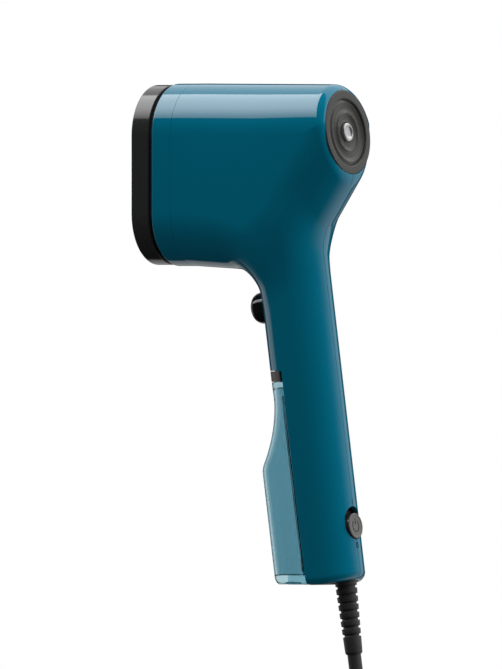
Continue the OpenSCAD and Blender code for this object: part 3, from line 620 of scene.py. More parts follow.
def make_tie():
    """Hook-and-loop strap closed round the coil, with its loose end lying on top."""
    half, thick = 6.0, 0.9
    inner = COIL_IN - CORD_D / 2 - 0.25
    outer = COIL_OUT + CORD_D / 2 + 0.1
    inside = rounded(oblong(inner, outer, COIL_LOW, COIL_HIGH), CORD_D / 2, steps=8)
    outside = rounded(oblong(inner - thick, outer + thick, COIL_LOW - thick, COIL_HIGH + thick),
                      CORD_D / 2 + thick, steps=8)

    def loop(line, y):
        return points_of(COIL_AT[0] - line[:, 0], COIL_AT[1] + y, line[:, 1])

    strap = ring_of([loop(outside, -half), loop(outside, half), loop(inside, half), loop(inside, -half)])
    tab = polygon_prism(
        rounded(oblong(-half, half, -9, 9), 2.0),
        COIL_HIGH + thick, COIL_HIGH + thick + 0.8,
        lambda a, b, h: points_of(COIL_AT[0] - (inner + outer) / 2 + b * 0.45, COIL_AT[1] + a, h),
    )
    return made("lead_tie", joined(strap, tab), "casing", "plug_black", "cord_tie")


def plug_lathe(profile, steps, aside=0):
    """A profile (radius, distance from the neck) turned about an axis of the plug, which points to -X."""
    (y, z, out), faces = lathe(profile, steps)
    return PLUG_AT + points_of(-out, y + aside, z), faces


def make_plug():
    """Round two-pin plug, lying on its side, with a ribbed neck and grooves for earth clips."""
    body = rounded(
        [(0, 0), (4.6, 0), (5.4, 12), (10.5, 15), (16.5, 21), (PLUG_R, 25), (PLUG_R, 37.4), (17, 38),
         (0, 38)],
        [0, 0.8, 3, 4, 6, 3, 0.6, 0.5, 0], steps=6, closed=False,
    )
    plug = new_piece("plug_body", *plug_lathe(body, 128))
    cut(plug, [polygon_prism(rounded(oblong(side * 15.2, side * 20, -3, 3)[::side], 0.6), 26, 40,
                             lambda z, y, out: PLUG_AT + points_of(-out, y, z)) for side in (-1, 1)])
    shade(plug.data, 30)
    settle(plug, "casing", "plug_black", "mains_plug")
    rings = [plug_lathe(rounded(oblong(4.4, 5.9 + 0.1 * k, 1.5 + k * 2.6, 3 + k * 2.6), 0.3, steps=3), 64)
             for k in range(4)]
    neck = made("plug_neck_rings", joined(*rings), "casing", "plug_black")
    neck.parent = plug
    neck.matrix_parent_inverse.identity()
    pin = rounded(oblong(0, 2.4, 37.5, 57), [0, 0, 2.2, 0], steps=8, closed=False)
    pins = [plug_lathe(pin, 48, side * 9.5) for side in (-1, 1)]
    pair = made("plug_pin_pair", joined(*pins), "casing", "pin_metal", "plug_pins")
    return plug, neck, pair


cord, cord_length = make_cord()
guard = make_guard()
tie = make_tie()
plug, plug_neck, plug_pin_pair = make_plug()


# ---- Casing: the same outline and half width as in the CAD source

UNDER_SLOPE = 0.06
NAPE_ANGLE = math.radians(56.5)
NAPE_POINT = (19.4, 99.1)
THROAT_R = 13.0
NAPE_R = 5.0
SHOULDER_ANGLE = math.radians(36)
SHOULDER_POINT = (-38.0, 62.0)
SHOULDER_BLEND = (-28, 12)
GRIP_ROOT = 100.0
DISC_TAPER = 1.3
PIVOT = np.array([-40.0, 50.0])
FALL_FROM = -60.0
FALL_SLOPE = 0.0105
LIP_R = 3.9
LIP_SPREAD = 1.3
FOOT_R = 4.0
FOOT_BULGE = 1.5
FOOT_FULL = 5.0
FOOT_REACH = 13.3
FOOT_FADE = (-78, -93)
DISC_WALL = 2.9
FAN_REACH = 66.0
FAN_DIP = 3.0


def ease(low, high, t):
    s = np.clip((t - low) / (high - low), 0, 1)
    return s * s * (3 - 2 * s)


def round_union(a, b, r):
    """Smaller of two distances, with a fillet of radius r where they meet."""
    return np.maximum(r, np.minimum(a, b)) - np.hypot(np.maximum(r - a, 0), np.maximum(r - b, 0))


def round_cut(a, b, r):
    """Larger of two distances, with a round edge of radius r where they meet."""
    return np.minimum(-r, np.maximum(a, b)) + np.hypot(np.maximum(a + r, 0), np.maximum(b + r, 0))


def outline_depth(y, z):
    head = np.maximum.reduce([
        z - HEAD_TOP + FALL_SLOPE * np.maximum(0, y - FALL_FROM),
        HEAD_FOOT - UNDER_SLOPE * np.maximum(0, y - COLLAR_BACK) - z,
        (y - NAPE_POINT[0]) * math.sin(NAPE_ANGLE) - (z - NAPE_POINT[1]) * math.cos(NAPE_ANGLE),
    ])
    grip = np.maximum(np.abs(across(y, z)) - GRIP_D / 2, along(y, z) - GRIP_ROOT)
    return -round_union(head, grip, THROAT_R + (NAPE_R - THROAT_R) * ease(-30, 5, y))


def above_shoulder(y, z):
    return ((z - SHOULDER_POINT[1]) * math.cos(SHOULDER_ANGLE)
            - (y - SHOULDER_POINT[0]) * math.sin(SHOULDER_ANGLE))


def casing_level(p):
    """Negative inside the casing, 0 on its outside."""
    x, y, z = p[..., 0], p[..., 1], p[..., 2]
    above = above_shoulder(y, z)
    head_half = HEAD_R - DISC_TAPER * ease(-20, 25, y)
    half = GRIP_W / 2 + (head_half - GRIP_W / 2) * ease(*SHOULDER_BLEND, above)
    rounding = GRIP_D / 2 + (head_half - GRIP_D / 2) * ease(-12, 10, above)
    from_full = 1 - np.minimum(outline_depth(y, z) / rounding, 1)
    return np.hypot(x / half, from_full) - 1


def slopes(field, p, step=0.02):
    """Gradient of a field at points, by differences."""
    return np.stack([
        (field(p + step * axis) - field(p - step * axis)) / (2 * step) for axis in np.eye(3)
    ], axis=-1)


def casing_distance(p):
    return casing_level(p) / np.maximum(np.linalg.norm(slopes(casing_level, p), axis=-1), 1e-3)


def in_uv(p):
    """How far points lie behind the grip's axis, and how high along it."""
    y, z = p[..., 1], p[..., 2]
    return across(y, z), along(y, z)


def foot_drop(p):
    """How far the foot's gentle curve draws points up along the grip, as vectors; it is below 0."""
    u, v = in_uv(p)
    off = (u - FOOT_FULL) / FOOT_REACH
    drop = FOOT_BULGE * np.maximum(0, 1 - off * off) * ease(*FOOT_FADE, v)
    return -drop[..., None] * [0, -TILT_SIN, TILT_COS]


def casing_outside(p):
    """Distance from the casing's outside, with its lip round the disc, fuller at the top, and its foot."""
    u, v = in_uv(p)
    lip = LIP_R + LIP_SPREAD * np.clip((v - DISC_UP) / DISC_R, -1, 1)
    return round_cut(round_cut(casing_distance(p), u - DISC_BACK, lip), -GRIP_DROP - v, FOOT_R)


def casing_inside(p):
    return np.maximum(casing_distance(p) + WALL, in_uv(p)[0] - DISC_BACK + DISC_WALL)


def curved_outside(p):
    """The casing's outside with the curve of its foot."""
    return casing_outside(p - foot_drop(p))


def grip_section(v):
    """Section square to the grip, as in casing_sections."""
    return (-v * TILT_SIN, v * TILT_COS, TILT_COS, TILT_SIN, 0)


def casing_sections():
    """Centre y and z, outward y and z, and inset of each section from the collar down to the foot."""
    rows = [(COLLAR_BACK + 0.04, HEAD_MID, 0, 1, 0.07)]
    rows += [(y, HEAD_MID, 0, 1, 0) for y in np.linspace(COLLAR_BACK + 0.12, PIVOT[0], 12)]
    pivot_out = -across(*PIVOT)
    fan = np.concatenate([np.arange(89.2, 70, -0.8), np.arange(70, 38, -0.4), np.arange(38, 8.2, -0.7)])
    for angle in fan:
        way = np.array([math.cos(math.radians(angle)), math.sin(math.radians(angle))])
        out = pivot_out + (FAN_REACH - pivot_out) * ease(TILT, 60, angle) - FAN_DIP * ease(60, 90, angle)
        rows.append((*(PIVOT + out * way), *way, 0))
    foot = -GRIP_DROP + FOOT_R * (1 - np.sin(quarter(9)))
    rows += [grip_section(v) for v in (*np.arange(53, 24, -1.5), *np.arange(16, -90, -8), *foot)]
    return np.array(rows, float)


def skin(sections, angles, field):
    """Where rays from each section's centre, at angles from -90 to 90 degrees, leave a field's inside."""
    centre = np.zeros((len(sections), 1, 3))
    centre[:, 0, 1:] = sections[:, :2]
    a = np.radians(angles)[None, :]
    way = points_of(np.cos(a), np.sin(a) * sections[:, 2:3], np.sin(a) * sections[:, 3:4])
    low, high = np.zeros(way.shape[:2]), np.full(way.shape[:2], 130.0)
    for _ in range(26):
        middle = (low + high) / 2
        within = field(centre + middle[..., None] * way) + sections[:, 4:5] < 0
        low, high = np.where(within, middle, low), np.where(within, high, middle)
    return centre + low[..., None] * way


def half_casing():
    """Closed solid of the casing's left half, with a fine chamfer along the parting plane.

    The parting plane has a point opposite each point of the skin, so that the ends close in strips.
    """
    sections = casing_sections()
    rings = skin(sections, np.linspace(-90, 90, 161), casing_outside)
    rings += foot_drop(rings)
    seam = 0.14
    out = np.zeros((len(sections), 3))
    out[:, 1:] = sections[:, 2:4]
    first, last = rings[:, 0] + seam * out, rings[:, -1] - seam * out
    rings[:, 0, 0] = seam
    rings[:, -1, 0] = seam
    plane = rings[:, -2:0:-1] * np.array([0, 1, 1])
    rings = np.concatenate([first[:, None], rings, last[:, None], plane], axis=1)
    points, faces = loft(rings, ends=False)
    return points, faces + end_strips(*rings.shape[:2], turn=1)


def casing_hollow():
    sections = casing_sections()
    sections[:, 4] = 0
    keep = np.r_[0, 1, 2:len(sections) - 9:3]
    sections = sections[keep]
    sections[0, 0] = COLLAR_BACK - 2
    low = sections[-1].copy()
    low[:2] = in_grip(0, 0, -GRIP_DROP - 4)[1:]
    sections = np.vstack([sections, low])
    return loft(mirrored(skin(sections, np.linspace(-90, 90, 61), casing_inside)))


def foot_plate():
    """Solid that fills the casing's open foot behind the tank's bay, curved as the foot is."""
    def field(p):
        in_bay = BAY_WALL + 0.2 - in_uv(p)[0]
        return np.maximum.reduce([casing_inside(p) + 0.12, casing_outside(p), in_bay])

    heights = -GRIP_DROP + np.array([4.0, 2.0, 1.4, 1.0, 0.7, 0.5, 0.35, 0.22, 0.12, 0.05])
    sections = np.array([grip_section(v) for v in heights])
    rings = mirrored(skin(sections, np.linspace(-90, 90, 121), field))
    rings += foot_drop(rings)
    points, faces = loft(rings, ends=False)
    return points, faces + end_strips(*rings.shape[:2], turn=0)


def make_foot_plate():
    plate = new_piece("foot_plate", *foot_plate(), smooth=40)
    cut(plate, [rod(GUARD_R + 0.1, (0, CORD_IN), -GRIP_DROP - 4, -GRIP_DROP + 9, in_grip, 72)])
    settle(flat_sides(plate), "casing", "casing_blue", "base_cap")


def casing_cutters():
    seat = rod(DISC_R + 0.2, (0, DISC_UP), DISC_BACK - DISC_SEAT, DISC_BACK + 5, across_grip)
    bore = rod(TRIGGER_R + 0.35, (0, TRIGGER_UP), -30, -8, across_grip)
    slot = polygon_prism(slot_outline(SLIDER_R + 0.3, SLIDER_UP, SLIDER_UP + SLIDER_TRAVEL), 8, 25,
                         across_grip)
    bay = []
    for u in (-60, BAY_WALL):
        bay.append([
            [x, *in_grip(0, u, -130)[1:]] if low else
            [x, (u - BAY_TOP * TILT_SIN) / TILT_COS, BAY_TOP]
            for x, low in ((-30, True), (30, True), (30, False), (-30, False))
        ])
    return [casing_hollow(), seat, bore, slot, loft(bay)]


def read(items, name, width=1, kind=float):
    """An attribute of every vertex, face or corner, as an array."""
    values = np.empty(len(items) * width, kind)
    items.foreach_get(name, values)
    return values.reshape(-1, width) if width > 1 else values


def true_normals(piece, field, limit=20):
    """Shades a piece by its field's own slope wherever its faces lie on the field's surface."""
    mesh = piece.data
    shade(mesh, 28)
    points = read(mesh.vertices, "co", 3) / MM
    slope = slopes(field, points)
    slope /= np.linalg.norm(slope, axis=1)[:, None]
    on_surface = np.abs(field(points)) < 0.03
    corner = read(mesh.loops, "vertex_index", kind=int)
    sizes = read(mesh.polygons, "loop_total", kind=int)
    face_normal = np.repeat(read(mesh.polygons, "normal", 3), sizes, axis=0)
    close = (slope[corner] * face_normal).sum(1) > math.cos(math.radians(limit))
    use = (on_surface[corner] & close)[:, None]
    shaded = read(mesh.corner_normals, "vector", 3)
    mesh.normals_split_custom_set(np.where(use, slope[corner], shaded).tolist())


def make_shells():
    points, faces = half_casing()
    cutters = casing_cutters()
    for name, side in (("left_half", 1), ("right_half", -1)):
        turned = faces if side == 1 else [face[::-1] for face in faces]
        shell = new_piece(name, points * np.array([side, 1, 1]), turned)
        cut(shell, cutters)
        true_normals(shell, curved_outside)
        settle(shell, "casing", "casing_blue", "left_shell" if side == 1 else "right_shell")


make_shells()
make_foot_plate()


# ---- Front of the head: collar and rim, swept round the head's outline

def head_loop(inset, y, steps=72):
    """Loop round the head's section, inset from it, at a distance along Y."""
    straight = (HEAD_TOP - HEAD_FOOT) / 2 - HEAD_R
    x, z = slot_outline(HEAD_R - inset, HEAD_MID - straight, HEAD_MID + straight, steps).T
    return points_of(x, y, z)


def head_sweep(profile):
    """Ring with a closed profile of (inset, y) points, swept round the head."""
    return ring_of([head_loop(inset, y) for inset, y in profile])


def make_collar():
    wall = WALL + 0.1
    profile = rounded(
        [(0, BODY_FRONT), (0, COLLAR_BACK), (wall, COLLAR_BACK), (wall, BODY_FRONT + 2),
         (6, BODY_FRONT + 2), (6, BODY_FRONT)],
        [0.9, 0.08, 0.2, 0.4, 0.2, 0.2], steps=6,
    )
    collar = flat_sides(new_piece("head_collar", *head_sweep(profile)))
    settle(collar, "casing", "casing_blue", "front_collar")


def make_rim():
    inset = 0.6
    back = 4.0
    profile = rounded(
        [(inset, PLATE_Y), (inset, RIM_BACK), (back, RIM_BACK), (back, PLATE_Y)],
        [0.7, 0.45, 0.2, 0.5], steps=7,
    )
    rim = flat_sides(new_piece("soleplate_rim", *head_sweep(profile)))
    settle(rim, "casing", "trim_black", "plate_rim")


make_collar()
make_rim()


# ---- Disc at the back of the head

RING_IN = 17.4
CREST_R = 15.2
RIPPLE_PITCH = 5.5
RIPPLE_DEPTH = 1.1
CREST_DEPTH = 0.2
STUD_R = 4.9
STUD_BASE = 1.45


def disc_height(r):
    """Height of the disc's rippled face, under its flat outer ring: round troughs and narrow crests."""
    if r < STUD_R + 0.5:
        return -STUD_BASE
    return -CREST_DEPTH - RIPPLE_DEPTH * abs(math.sin(math.pi * (r - CREST_R) / RIPPLE_PITCH)) ** 0.8


def make_disc():
    floor = DISC_BACK - DISC_SEAT + 0.05
    top = DISC_BACK - 0.05
    edge = rounded(
        [(DISC_R, floor), (DISC_R, top), (RING_IN, top), (RING_IN - 0.5, top + disc_height(RING_IN))],
        [0, 0.5, 0.7, 0], steps=6, closed=False,
    )
    radii = np.linspace(RING_IN - 0.6, 0.0, 110)
    face = [tuple(p) for p in edge] + [(r, top + disc_height(r)) for r in radii] + [(0, floor)]
    made("rippled_disc", on_grip_lathe(face, DISC_UP, 160), "casing", "disc_grey", "rear_disc", smooth=50)


def make_disc_centre():
    """Polished stud with a dished middle."""
    base = DISC_BACK - STUD_BASE
    profile = rounded(
        [(0, base), (STUD_R, base), (STUD_R - 0.2, base + 1.6), (STUD_R - 1.3, base + 1.9),
         (STUD_R - 2.3, base + 1.1), (0, base + 0.8)],
        [0, 0.1, 0.6, 0.6, 0.8, 0], steps=8, closed=False,
    )
    made("disc_stud", on_grip_lathe(profile, DISC_UP), "casing", "disc_metal", "disc_centre", smooth=60)


make_disc()
make_disc_centre()


# ---- Steam trigger

def make_trigger():
    front = -GRIP_D / 2
    flange = -12.0
    flange_r, flange_back = 9.2, flange + 1.2
    fullness = 0.63
    dome = [(TRIGGER_R * math.sin(a) ** fullness, front - TRIGGER_PROUD * math.cos(a) ** fullness)
            for a in quarter(28)]
    stem = [(TRIGGER_R, flange), (flange_r, flange), (flange_r, flange_back), (0, flange_back)]
    solid = on_grip_lathe(dome + stem, TRIGGER_UP)
    made("steam_button", solid, "trigger", "trigger_black", "trigger", smooth=50)


make_trigger()


# ---- Springs in place of CAD nodes


def make_spring(name, body, node, turns, wire, still, moving, place):
    """Coil in place of a CAD node, wound between its still end and its moving end."""
    low, high = min(still, moving) + wire, max(still, moving) - wire
    t = np.linspace(0, 2 * math.pi * turns, 48 * turns + 1)[:, None]
    b = np.linspace(0, 2 * math.pi, 12, endpoint=False)[None]
    r = box_mm(node)[1][0] - wire + wire * np.cos(b)
    rise = low + (high - low) * t / t[-1] + wire * np.sin(b)
    points, faces = loft(points_of(r * np.cos(t), r * np.sin(t), rise))
    spring = made(name, (place(*points.T), faces), body, "steel", node)
    tuple(place(0, 0, still) * MM)
    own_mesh(spring)


def make_trigger_spring():
    low, high = box_mm("trigger_spring")
    length = (high[1] - low[1] - 2 * high[0] * TILT_SIN) / TILT_COS
    at = across(*(low + high)[1:] / 2)
    make_spring("button_spring", "casing", "trigger_spring",
                2, 0.4, at + length / 2, at - length / 2,
                lambda x, v, u: in_grip(x, u, v + TRIGGER_UP))


def make_pump_spring():
    low, high = box_mm("pump_spring")
    middle = (low[1] + high[1]) / 2
    make_spring("plunger_spring", "casing", "pump_spring",
                4, 0.4, low[2], high[2], lambda x, y, z: points_of(x, y + middle, z))


make_trigger_spring()
make_pump_spring()


# ---- Power slider with its symbol, and the marks on the grip

INSERT_BACK = 14.0
SLIDER_FACE = GRIP_D / 2 + 0.7


def arc_bar(radius, width, start, stop, steps=40):
    """Outline of a curved bar, from one angle to another in degrees."""
    turn = np.radians(np.linspace(start, stop, steps))
    return np.concatenate([polar(radius + width / 2, turn), polar(radius - width / 2, turn)[::-1]])


def make_slider():
    face_low = SLIDER_FACE - 0.5
    # The skirt is black to paint the shade that falls on the slider's side and in the slot's gap round it.
    skirt_r = SLIDER_R - 0.05
    skirt = rounded(
        [(0, INSERT_BACK + 0.3), (skirt_r, INSERT_BACK + 0.3), (skirt_r, face_low), (0, face_low)],
        [0, 0.2, 0.1, 0], steps=4, closed=False,
    )
    made("button_skirt_painted_shade", on_grip_lathe(skirt, SLIDER_UP), "slider", "trim_black", smooth=45)
    profile = rounded(
        [(0, face_low + 0.02), (skirt_r, face_low + 0.02), (SLIDER_R, SLIDER_FACE),
         (SLIDER_R - 0.9, SLIDER_FACE), (SLIDER_R - 1.5, SLIDER_FACE - 0.3), (0, SLIDER_FACE - 0.4)],
        [0, 0.1, 0.55, 0.3, 0.5, 0], steps=5, closed=False,
    )
    slider = new_piece("power_button", *on_grip_lathe(profile, SLIDER_UP), smooth=45)
    symbol = [line + [0, SLIDER_UP] for line in (arc_bar(2.9, 0.8, 125, 415), oblong(-0.4, 0.4, 0.6, 4.0))]
    groove = SLIDER_FACE - 0.9
    cut(slider, [polygon_prism(line, groove, SLIDER_FACE + 1, across_grip) for line in symbol])
    shade(slider.data, 35)
    settle(slider, "slider", "slider_grey", "power_slider")
    inlays = [polygon_prism(line, groove + 0.02, groove + 0.28, across_grip) for line in symbol]
    made("power_symbol", joined(*inlays), "slider", "neck_black")


def make_marks():
    """Printed strokes for on, above the slider, and off, below it, laid on the grip's surface."""
    def wrapped(x, v, lift):
        return in_grip(x, GRIP_D / 2 * np.sqrt(1 - (x / (GRIP_W / 2)) ** 2) + lift, v)

    sunk, proud = -0.2, 0.03
    on = oblong(-0.3, 0.3, -1.5, 1.5) + [0, SLIDER_UP + SLIDER_TRAVEL + 9.2]
    outer, inner = [polar(1, full_turn(48)) * size + [0, SLIDER_UP - 9.8]
                    for size in ((1.2, 1.6), (0.65, 1.0))]
    off = ring_of([wrapped(*line.T, lift)
                   for line, lift in ((outer, proud), (inner, proud), (inner, sunk), (outer, sunk))])
    marks = made("on_off_marks", joined(polygon_prism(on, sunk, proud, wrapped), off), "casing", "neck_black")
    marks.data.materials[0] = finish_of("mark_navy")


make_slider()
make_marks()


# ---- Tank, its foot, its latch and the filler flap, in level sections

BULGE = 11.7
BULGE_FROM = 3.0
BULGE_CURVE = 0.0075
BULGE_ROUND = 1.6
NOSE_R = 16.0
TANK_HALF = 16.96
FOOT_ROUND = 4.0
TANK_TOP = box_mm("tank_shell")[1][2]
TANK_INSET = 0.4
TANK_REAR = 4.65
REAR_CORNER = 0.4
FLAP_AT = -18.0
FILLER_R = 5.5
FLAP_R = 7.6
FLAP_THICK = 1.8
filler_y = (FLAP_AT - TANK_FOOT * TILT_SIN) / TILT_COS
hinge_y = joints["flap_hinge"]["pos_m"][1] / MM
hinge_z = joints["flap_hinge"]["pos_m"][2] / MM
tank_roof = box_mm("tank_latch")[0][2] - 0.25


def soft_min(a, b, k):
    h = max(k - abs(a - b), 0) / k
    return min(a, b) - h * h * k / 4


def bulge_at(z):
    return max(0, soft_min(BULGE_CURVE * max(0, BULGE_FROM - z) ** 2, BULGE, BULGE_ROUND))


def tank_loop(z, inset, back, steps=40, corner=REAR_CORNER):
    """Level outline of the tank at a height, from the middle of its front round to its flat back."""
    full = bulge_at(z) / BULGE
    front = GRIP_D / 2 + bulge_at(z) - inset
    nose = GRIP_D / 2 + (NOSE_R - GRIP_D / 2) * full - inset
    half = GRIP_W / 2 + (TANK_HALF - GRIP_W / 2) * full - inset
    run = front - back - corner
    end = math.pi / 2 if run >= nose else math.acos(1 - run / nose)
    turn = np.linspace(0, end, steps)
    side = points_of(half * np.sin(turn), -front + nose * (1 - np.cos(turn)))
    edge, reach = side[-1]
    flank = points_of(edge, reach + np.linspace(0, max(0, run - nose), 5)[1:])
    bends = polar(corner, quarter(6)[1:]) + [edge - corner, -back - corner]
    across_back = points_of(np.linspace(edge - corner, 0, 8)[1:], -back)
    half_loop = np.vstack([side, flank, bends, across_back])
    x, u = np.vstack([half_loop, half_loop[-2:0:-1] * [-1, 1]]).T
    return level_across(x, z, u)


def edge_loops(end, rise, inset, run, back, steps, corner=REAR_CORNER):
    """Loops round an edge that ends at a height: rise is how high it is, run how far it comes in."""
    return [tank_loop(end + rise * (1 - math.sin(a)), inset + run * (1 - math.cos(a)), back, corner=corner)
            for a in quarter(steps)]


def finished(piece, cutters, body, slot, node):
    """A cut piece with its edges sharp again, settled."""
    cut(piece, cutters)
    shade(piece.data, 40)
    settle(flat_sides(piece), body, slot, node)


def tank_levels(low, high):
    """Heights of the tank's sections, close together where it swells."""
    swell = np.arange(-44.0, -30.0, 0.8)
    both = [*np.linspace(low, -46, 12), *swell, *np.arange(-29, high - 2, 2.0)]
    return [z for z in both if low <= z <= high]


def make_tank():
    low, top = BASE_TOP + 0.02, tank_roof
    back, corner = TANK_BACK + TANK_WALL, 1.2
    outside = [tank_loop(z, TANK_INSET * ease(top, top - 14, z), TANK_REAR)
               for z in tank_levels(low, top - 1.2)]
    outside += edge_loops(top, -1, 0.05, 1, TANK_REAR + 0.05, 6)
    inside = [tank_loop(z, TANK_WALL, back, corner=corner) for z in tank_levels(low, top - 4.5)]
    inside += edge_loops(top - 2.6, -1.6, TANK_WALL, 1.6, back, 5, corner)
    tank = new_piece("water_tank", *loft([*outside[::-1], *inside]), smooth=40)
    spout_hole = rod(2.42, (0, 0), -9, 0, across_grip, 64)
    finished(tank, [spout_hole], "tank", "tank_clear", "tank_shell")
    tongue = polygon_prism(rounded(oblong(-3, 3, TANK_TOP - 6, TANK_TOP), 0.4),
                           -TANK_BACK - 0.2, -TANK_BACK + 0.28, across_grip)
    made("latch_tongue", tongue, "tank", "base_clear")


def make_tank_foot():
    top, under = BASE_TOP, TANK_FOOT - 1
    round_foot = edge_loops(TANK_FOOT, FOOT_ROUND, TANK_INSET, 2.2, TANK_REAR, 10)
    foot = new_piece("tank_foot", *loft([tank_loop(top, TANK_INSET, TANK_REAR), *round_foot]))
    hole = rod(FILLER_R, (0, filler_y), under, top + 1, points_of)
    seat = rod(FLAP_R + 0.3, (0, filler_y), under, TANK_FOOT + FLAP_THICK + 0.3, points_of)
    recess = polygon_prism(oblong(filler_y, hinge_y + 2.2, under, hinge_z + 1.9), -4.3, 4.3, along_x)
    pin_bore = rod(0.8, (hinge_y, hinge_z), -6.2, 6.2, along_x, 32)
    finished(foot, [hole, seat, recess, pin_bore], "tank", "base_clear", "tank_base")
    half = 0.16
    proud, rear = TANK_INSET - 0.02, TANK_REAR - 0.02
    sunk, ahead = TANK_WALL - 0.2, TANK_REAR + 1
    seam = [tank_loop(top - half, proud, rear), tank_loop(top + half, proud, rear),
            tank_loop(top + half, sunk, ahead), tank_loop(top - half, sunk, ahead)]
    line = made("weld_line", ring_of(seam), "tank", "base_clear")
    line.data.materials[0] = finish_of("weld_teal")


def make_latch():
    low, high = tank_roof + 0.06, BAY_TOP - 0.24
    back = TANK_BACK + 1.05
    edge = 0.2
    lower, upper = [edge_loops(end, rise, 0, edge, back, 6) for end, rise in ((low, edge), (high, -edge))]
    latch = new_piece("release_latch", *loft([*lower[::-1], *upper]))
    recess = loft([tank_loop(z, 0.8, back - 1) for z in (high - 0.55, high + 1)])
    pocket_half, pocket_depth = 3.5, 0.8
    pocket = polygon_prism(oblong(-pocket_half, pocket_half, low - 1, high - 0.85),
                           -back - pocket_depth, -back + 1, level_across)
    finished(latch, [recess, pocket], "latch", "latch_grey", "tank_latch")
    # Plate of the casing that stands in the latch's recess and closes the gap above it; it is black to paint
    # the shade in that gap
    plate = np.array([tank_loop(z, 1.0, back + 1.6) for z in (high - 0.3, BAY_TOP + 0.3)]) + [0, 1.5, 0]
    made("latch_plate_painted_shade", loft(plate), "casing", "trim_black")


def make_latch_spring():
    up = along(*sum(box_mm("latch_spring"))[1:] / 2)
    still = -TANK_BACK - 0.1
    make_spring("latch_coil", "tank", "latch_spring",
                2, 0.25, still, still - 1.6, lambda x, v, u: in_grip(x, u, v + up))


def make_flap():
    foot, top = TANK_FOOT + 0.1, TANK_FOOT + FLAP_THICK
    disc = rounded([(0, foot), (FLAP_R, foot), (FLAP_R, top), (0, top)], [0, 0.4, 0.3, 0], steps=4,
                   closed=False)
    (x, y, z), faces = lathe(disc, 96)
    lid = points_of(x, y + filler_y, z), faces
    arm = polygon_prism(
        rounded([(filler_y + 2, foot), (hinge_y + 1.2, TANK_FOOT + 0.3), (hinge_y + 1.7, hinge_z),
                 (hinge_y + 1.0, hinge_z + 1.4), (hinge_y - 1.0, hinge_z + 1.4), (hinge_y - 1.8, top),
                 (filler_y + 2, top)], 0.25, steps=3),
        -3.9, 3.9, along_x)
    pull = polygon_prism(rounded(oblong(-2.6, 2.6, filler_y - 6.9, filler_y - 5.9), 0.3),
                         TANK_FOOT - 0.15, TANK_FOOT + 0.2, points_of)
    made("filler_stopper", joined(lid, arm, pull), "flap", "rubber_black", "filler_flap")


make_tank()
make_tank_foot()
make_latch()
make_latch_spring()
make_flap()


# ---- CAD nodes that stay as they are: each takes its finish from the record

def finish_cad_nodes():
    slots = {part["node"]: part["material_slot"] for part in frame["record"]["subparts"]}
    for name, node in frame["nodes"].items():
        if node.hide_render:
            continue
        node.data.materials.clear()
        node.data.materials.append(finish_of(slots[name]))


finish_cad_nodes()


# ---- Floor, world and lights

FLOOR_R = 0.75


def make_floor():
    x, y = polar(FLOOR_R / MM, full_turn(128)).T
    floor = new_piece("floor", points_of(x, y, LAY_HEIGHT), [list(range(128))])
    floor.data.materials.append(surface("floor_white", (0.82, 0.82, 0.82), 0.6, vary=0.01, blotch=3, bump=0))
    floor.visible_glossy = False
    floor.visible_diffuse = False


def math_node(tree, kind, a, b=None):
    node = tree.nodes.new("ShaderNodeMath")
    node.operation = kind
    for socket, value in zip(node.inputs, (a, b)):
        if value is None:
            continue
        if isinstance(value, (int, float)):
            socket.default_value = value
        else:
            tree.links.new(value, socket)
    return node.outputs[0]


def ramp(tree, value, low, high):
    """0 below low, 1 above high, smooth between; high below low turns it round."""
    node = tree.nodes.new("ShaderNodeMapRange")
    node.interpolation_type = "SMOOTHSTEP"
    tree.links.new(value, node.inputs["Value"])
    fill(node, From_Min=low, From_Max=high)
    return node.outputs["Result"]


def window(tree, value, low, high, soft):
    """1 between two values, 0 outside them."""
    return math_node(tree, "MULTIPLY", ramp(tree, value, low - soft, low + soft),
                     ramp(tree, value, high + soft, high - soft))


def chain(tree, kind, values):
    total = values[0]
    for value in values[1:]:
        total = math_node(tree, kind, total, value)
    return total


def add(tree, *values):
    return chain(tree, "ADD", values)


def product(tree, *values):
    return chain(tree, "MULTIPLY", values)


# How bright each part is that shiny surfaces see
SOFTBOX = 4.4
SURROUND = 1.0
RIGHT_STRIP = 0.56
LEFT_STRIP = 0.55
FAR_FLOOR = 0.46
DARKEST = 0.008
# The softbox's edges, as a direction's x and y over its height
SOFTBOX_X = (-0.26, 1.22)
SOFTBOX_Y = (-2.6, -0.25)


def mirrored_light(tree, x, y, z):
    """What shiny surfaces see: softbox overhead, its bright surround, side strips and a far floor."""
    height = math_node(tree, "MAXIMUM", math_node(tree, "ABSOLUTE", z), 0.02)
    over_x = math_node(tree, "DIVIDE", x, height)
    over_y = math_node(tree, "DIVIDE", y, height)
    fade = add(tree, product(tree, ramp(tree, over_x, 1.25, 0.35), 0.6), 0.4)
    box = product(tree, window(tree, over_x, *SOFTBOX_X, 0.012), window(tree, over_y, *SOFTBOX_Y, 0.03),
                  ramp(tree, z, 0.15, 0.2), fade, SOFTBOX)
    surround = product(tree, ramp(tree, over_x, -0.24, -0.3), ramp(tree, z, 0.3, 0.42), SURROUND)
    # Degrees round from +X towards +Y, 0 to 360
    azimuth = product(tree, math_node(tree, "ARCTAN2", y, x), 180 / math.pi)
    turned = math_node(tree, "MODULO", add(tree, azimuth, 720), 360)
    not_high = ramp(tree, z, 0.6, 0.25)
    right = product(tree, ramp(tree, turned, 100, 157), ramp(tree, turned, 177, 172), not_high, RIGHT_STRIP)
    left = product(tree, window(tree, turned, 247, 280, 5), not_high, ramp(tree, z, -0.6, -0.25), LEFT_STRIP)
    ground = product(tree, ramp(tree, over_x, -0.68, -0.9), ramp(tree, z, -0.1, -0.3),
                     ramp(tree, y, -0.8, -0.6), ramp(tree, y, 0.1, -0.3), FAR_FLOOR)
    return add(tree, box, surround, right, left, ground, DARKEST)


def lobe(tree, toward, power, strength):
    """Broad light from one direction: how far a surface turns toward it, raised to a power."""
    return product(tree, math_node(tree, "POWER", math_node(tree, "MAXIMUM", toward, 0), power), strength)


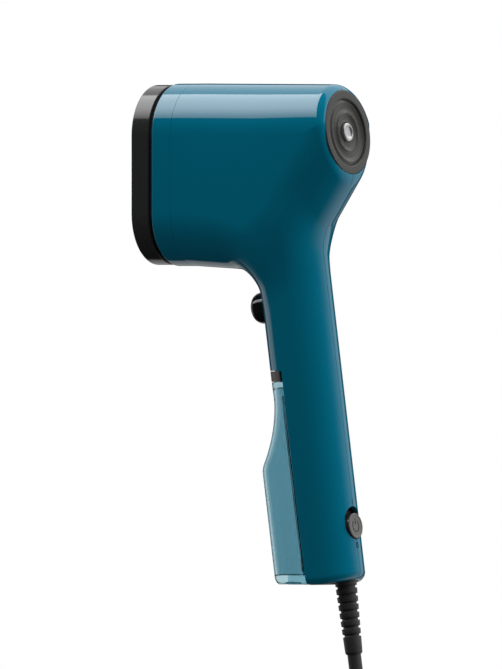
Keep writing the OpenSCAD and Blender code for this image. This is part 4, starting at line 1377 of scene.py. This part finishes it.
def soft_light(tree, x, y, z):
    """Broad light that gives matt surfaces their brightness: from above, ahead, the rear right and below."""
    rear_right = add(tree, product(tree, x, -0.57), product(tree, y, 0.81), product(tree, z, 0.14))
    return add(tree, lobe(tree, z, 6, 5.8), lobe(tree, product(tree, y, -1), 3, 1.5),
               lobe(tree, rear_right, 5, 5.2), lobe(tree, product(tree, z, -1), 2, 0.2),
               product(tree, math_node(tree, "MAXIMUM", z, 0), 0.62), 0.17)


def make_world():
    """White to the camera, and a studio to everything that is lit by it."""
    world = bpy.data.worlds.new("studio")
    world.use_nodes = True
    tree = world.node_tree
    tree.nodes.clear()
    way = tree.nodes.new("ShaderNodeSeparateXYZ")
    coordinates = tree.nodes.new("ShaderNodeTexCoord")
    tree.links.new(coordinates.outputs["Generated"], way.inputs["Vector"])
    x, y, z = way.outputs
    path = tree.nodes.new("ShaderNodeLightPath")
    through = math_node(tree, "MINIMUM", path.outputs["Transmission Depth"], 1)
    seen = math_node(tree, "MAXIMUM", path.outputs["Is Camera Ray"], through)
    shiny = path.outputs["Is Glossy Ray"]
    light = add(
        tree,
        product(tree, mirrored_light(tree, x, y, z), shiny),
        product(tree, soft_light(tree, x, y, z), math_node(tree, "SUBTRACT", 1, shiny)),
    )
    strength = add(tree, product(tree, light, math_node(tree, "SUBTRACT", 1, seen)), seen)
    studio = tree.nodes.new("ShaderNodeBackground")
    fill(studio, Color=(1, 1, 1, 1))
    tree.links.new(strength, studio.inputs["Strength"])
    output = tree.nodes.new("ShaderNodeOutputWorld")
    tree.links.new(studio.outputs["Background"], output.inputs["Surface"])
    bpy.context.scene.world = world


def make_near_light():
    """Soft light close above the left side, which fades down the head."""
    data = bpy.data.lights.new("near_light", "AREA")
    data.size = 0.16
    data.energy = 0.062
    lamp = linked("near_light", data)
    lamp.location = (0.11, -0.03, 0.21)
    lamp.rotation_euler = (Vector((0, -0.02, 0.12)) - lamp.location).to_track_quat("-Z", "Y").to_euler()
    lamp.visible_glossy = False
    lamp.visible_camera = False


make_floor()
make_world()
make_near_light()
bpy.context.scene.view_settings.view_transform = "Standard"
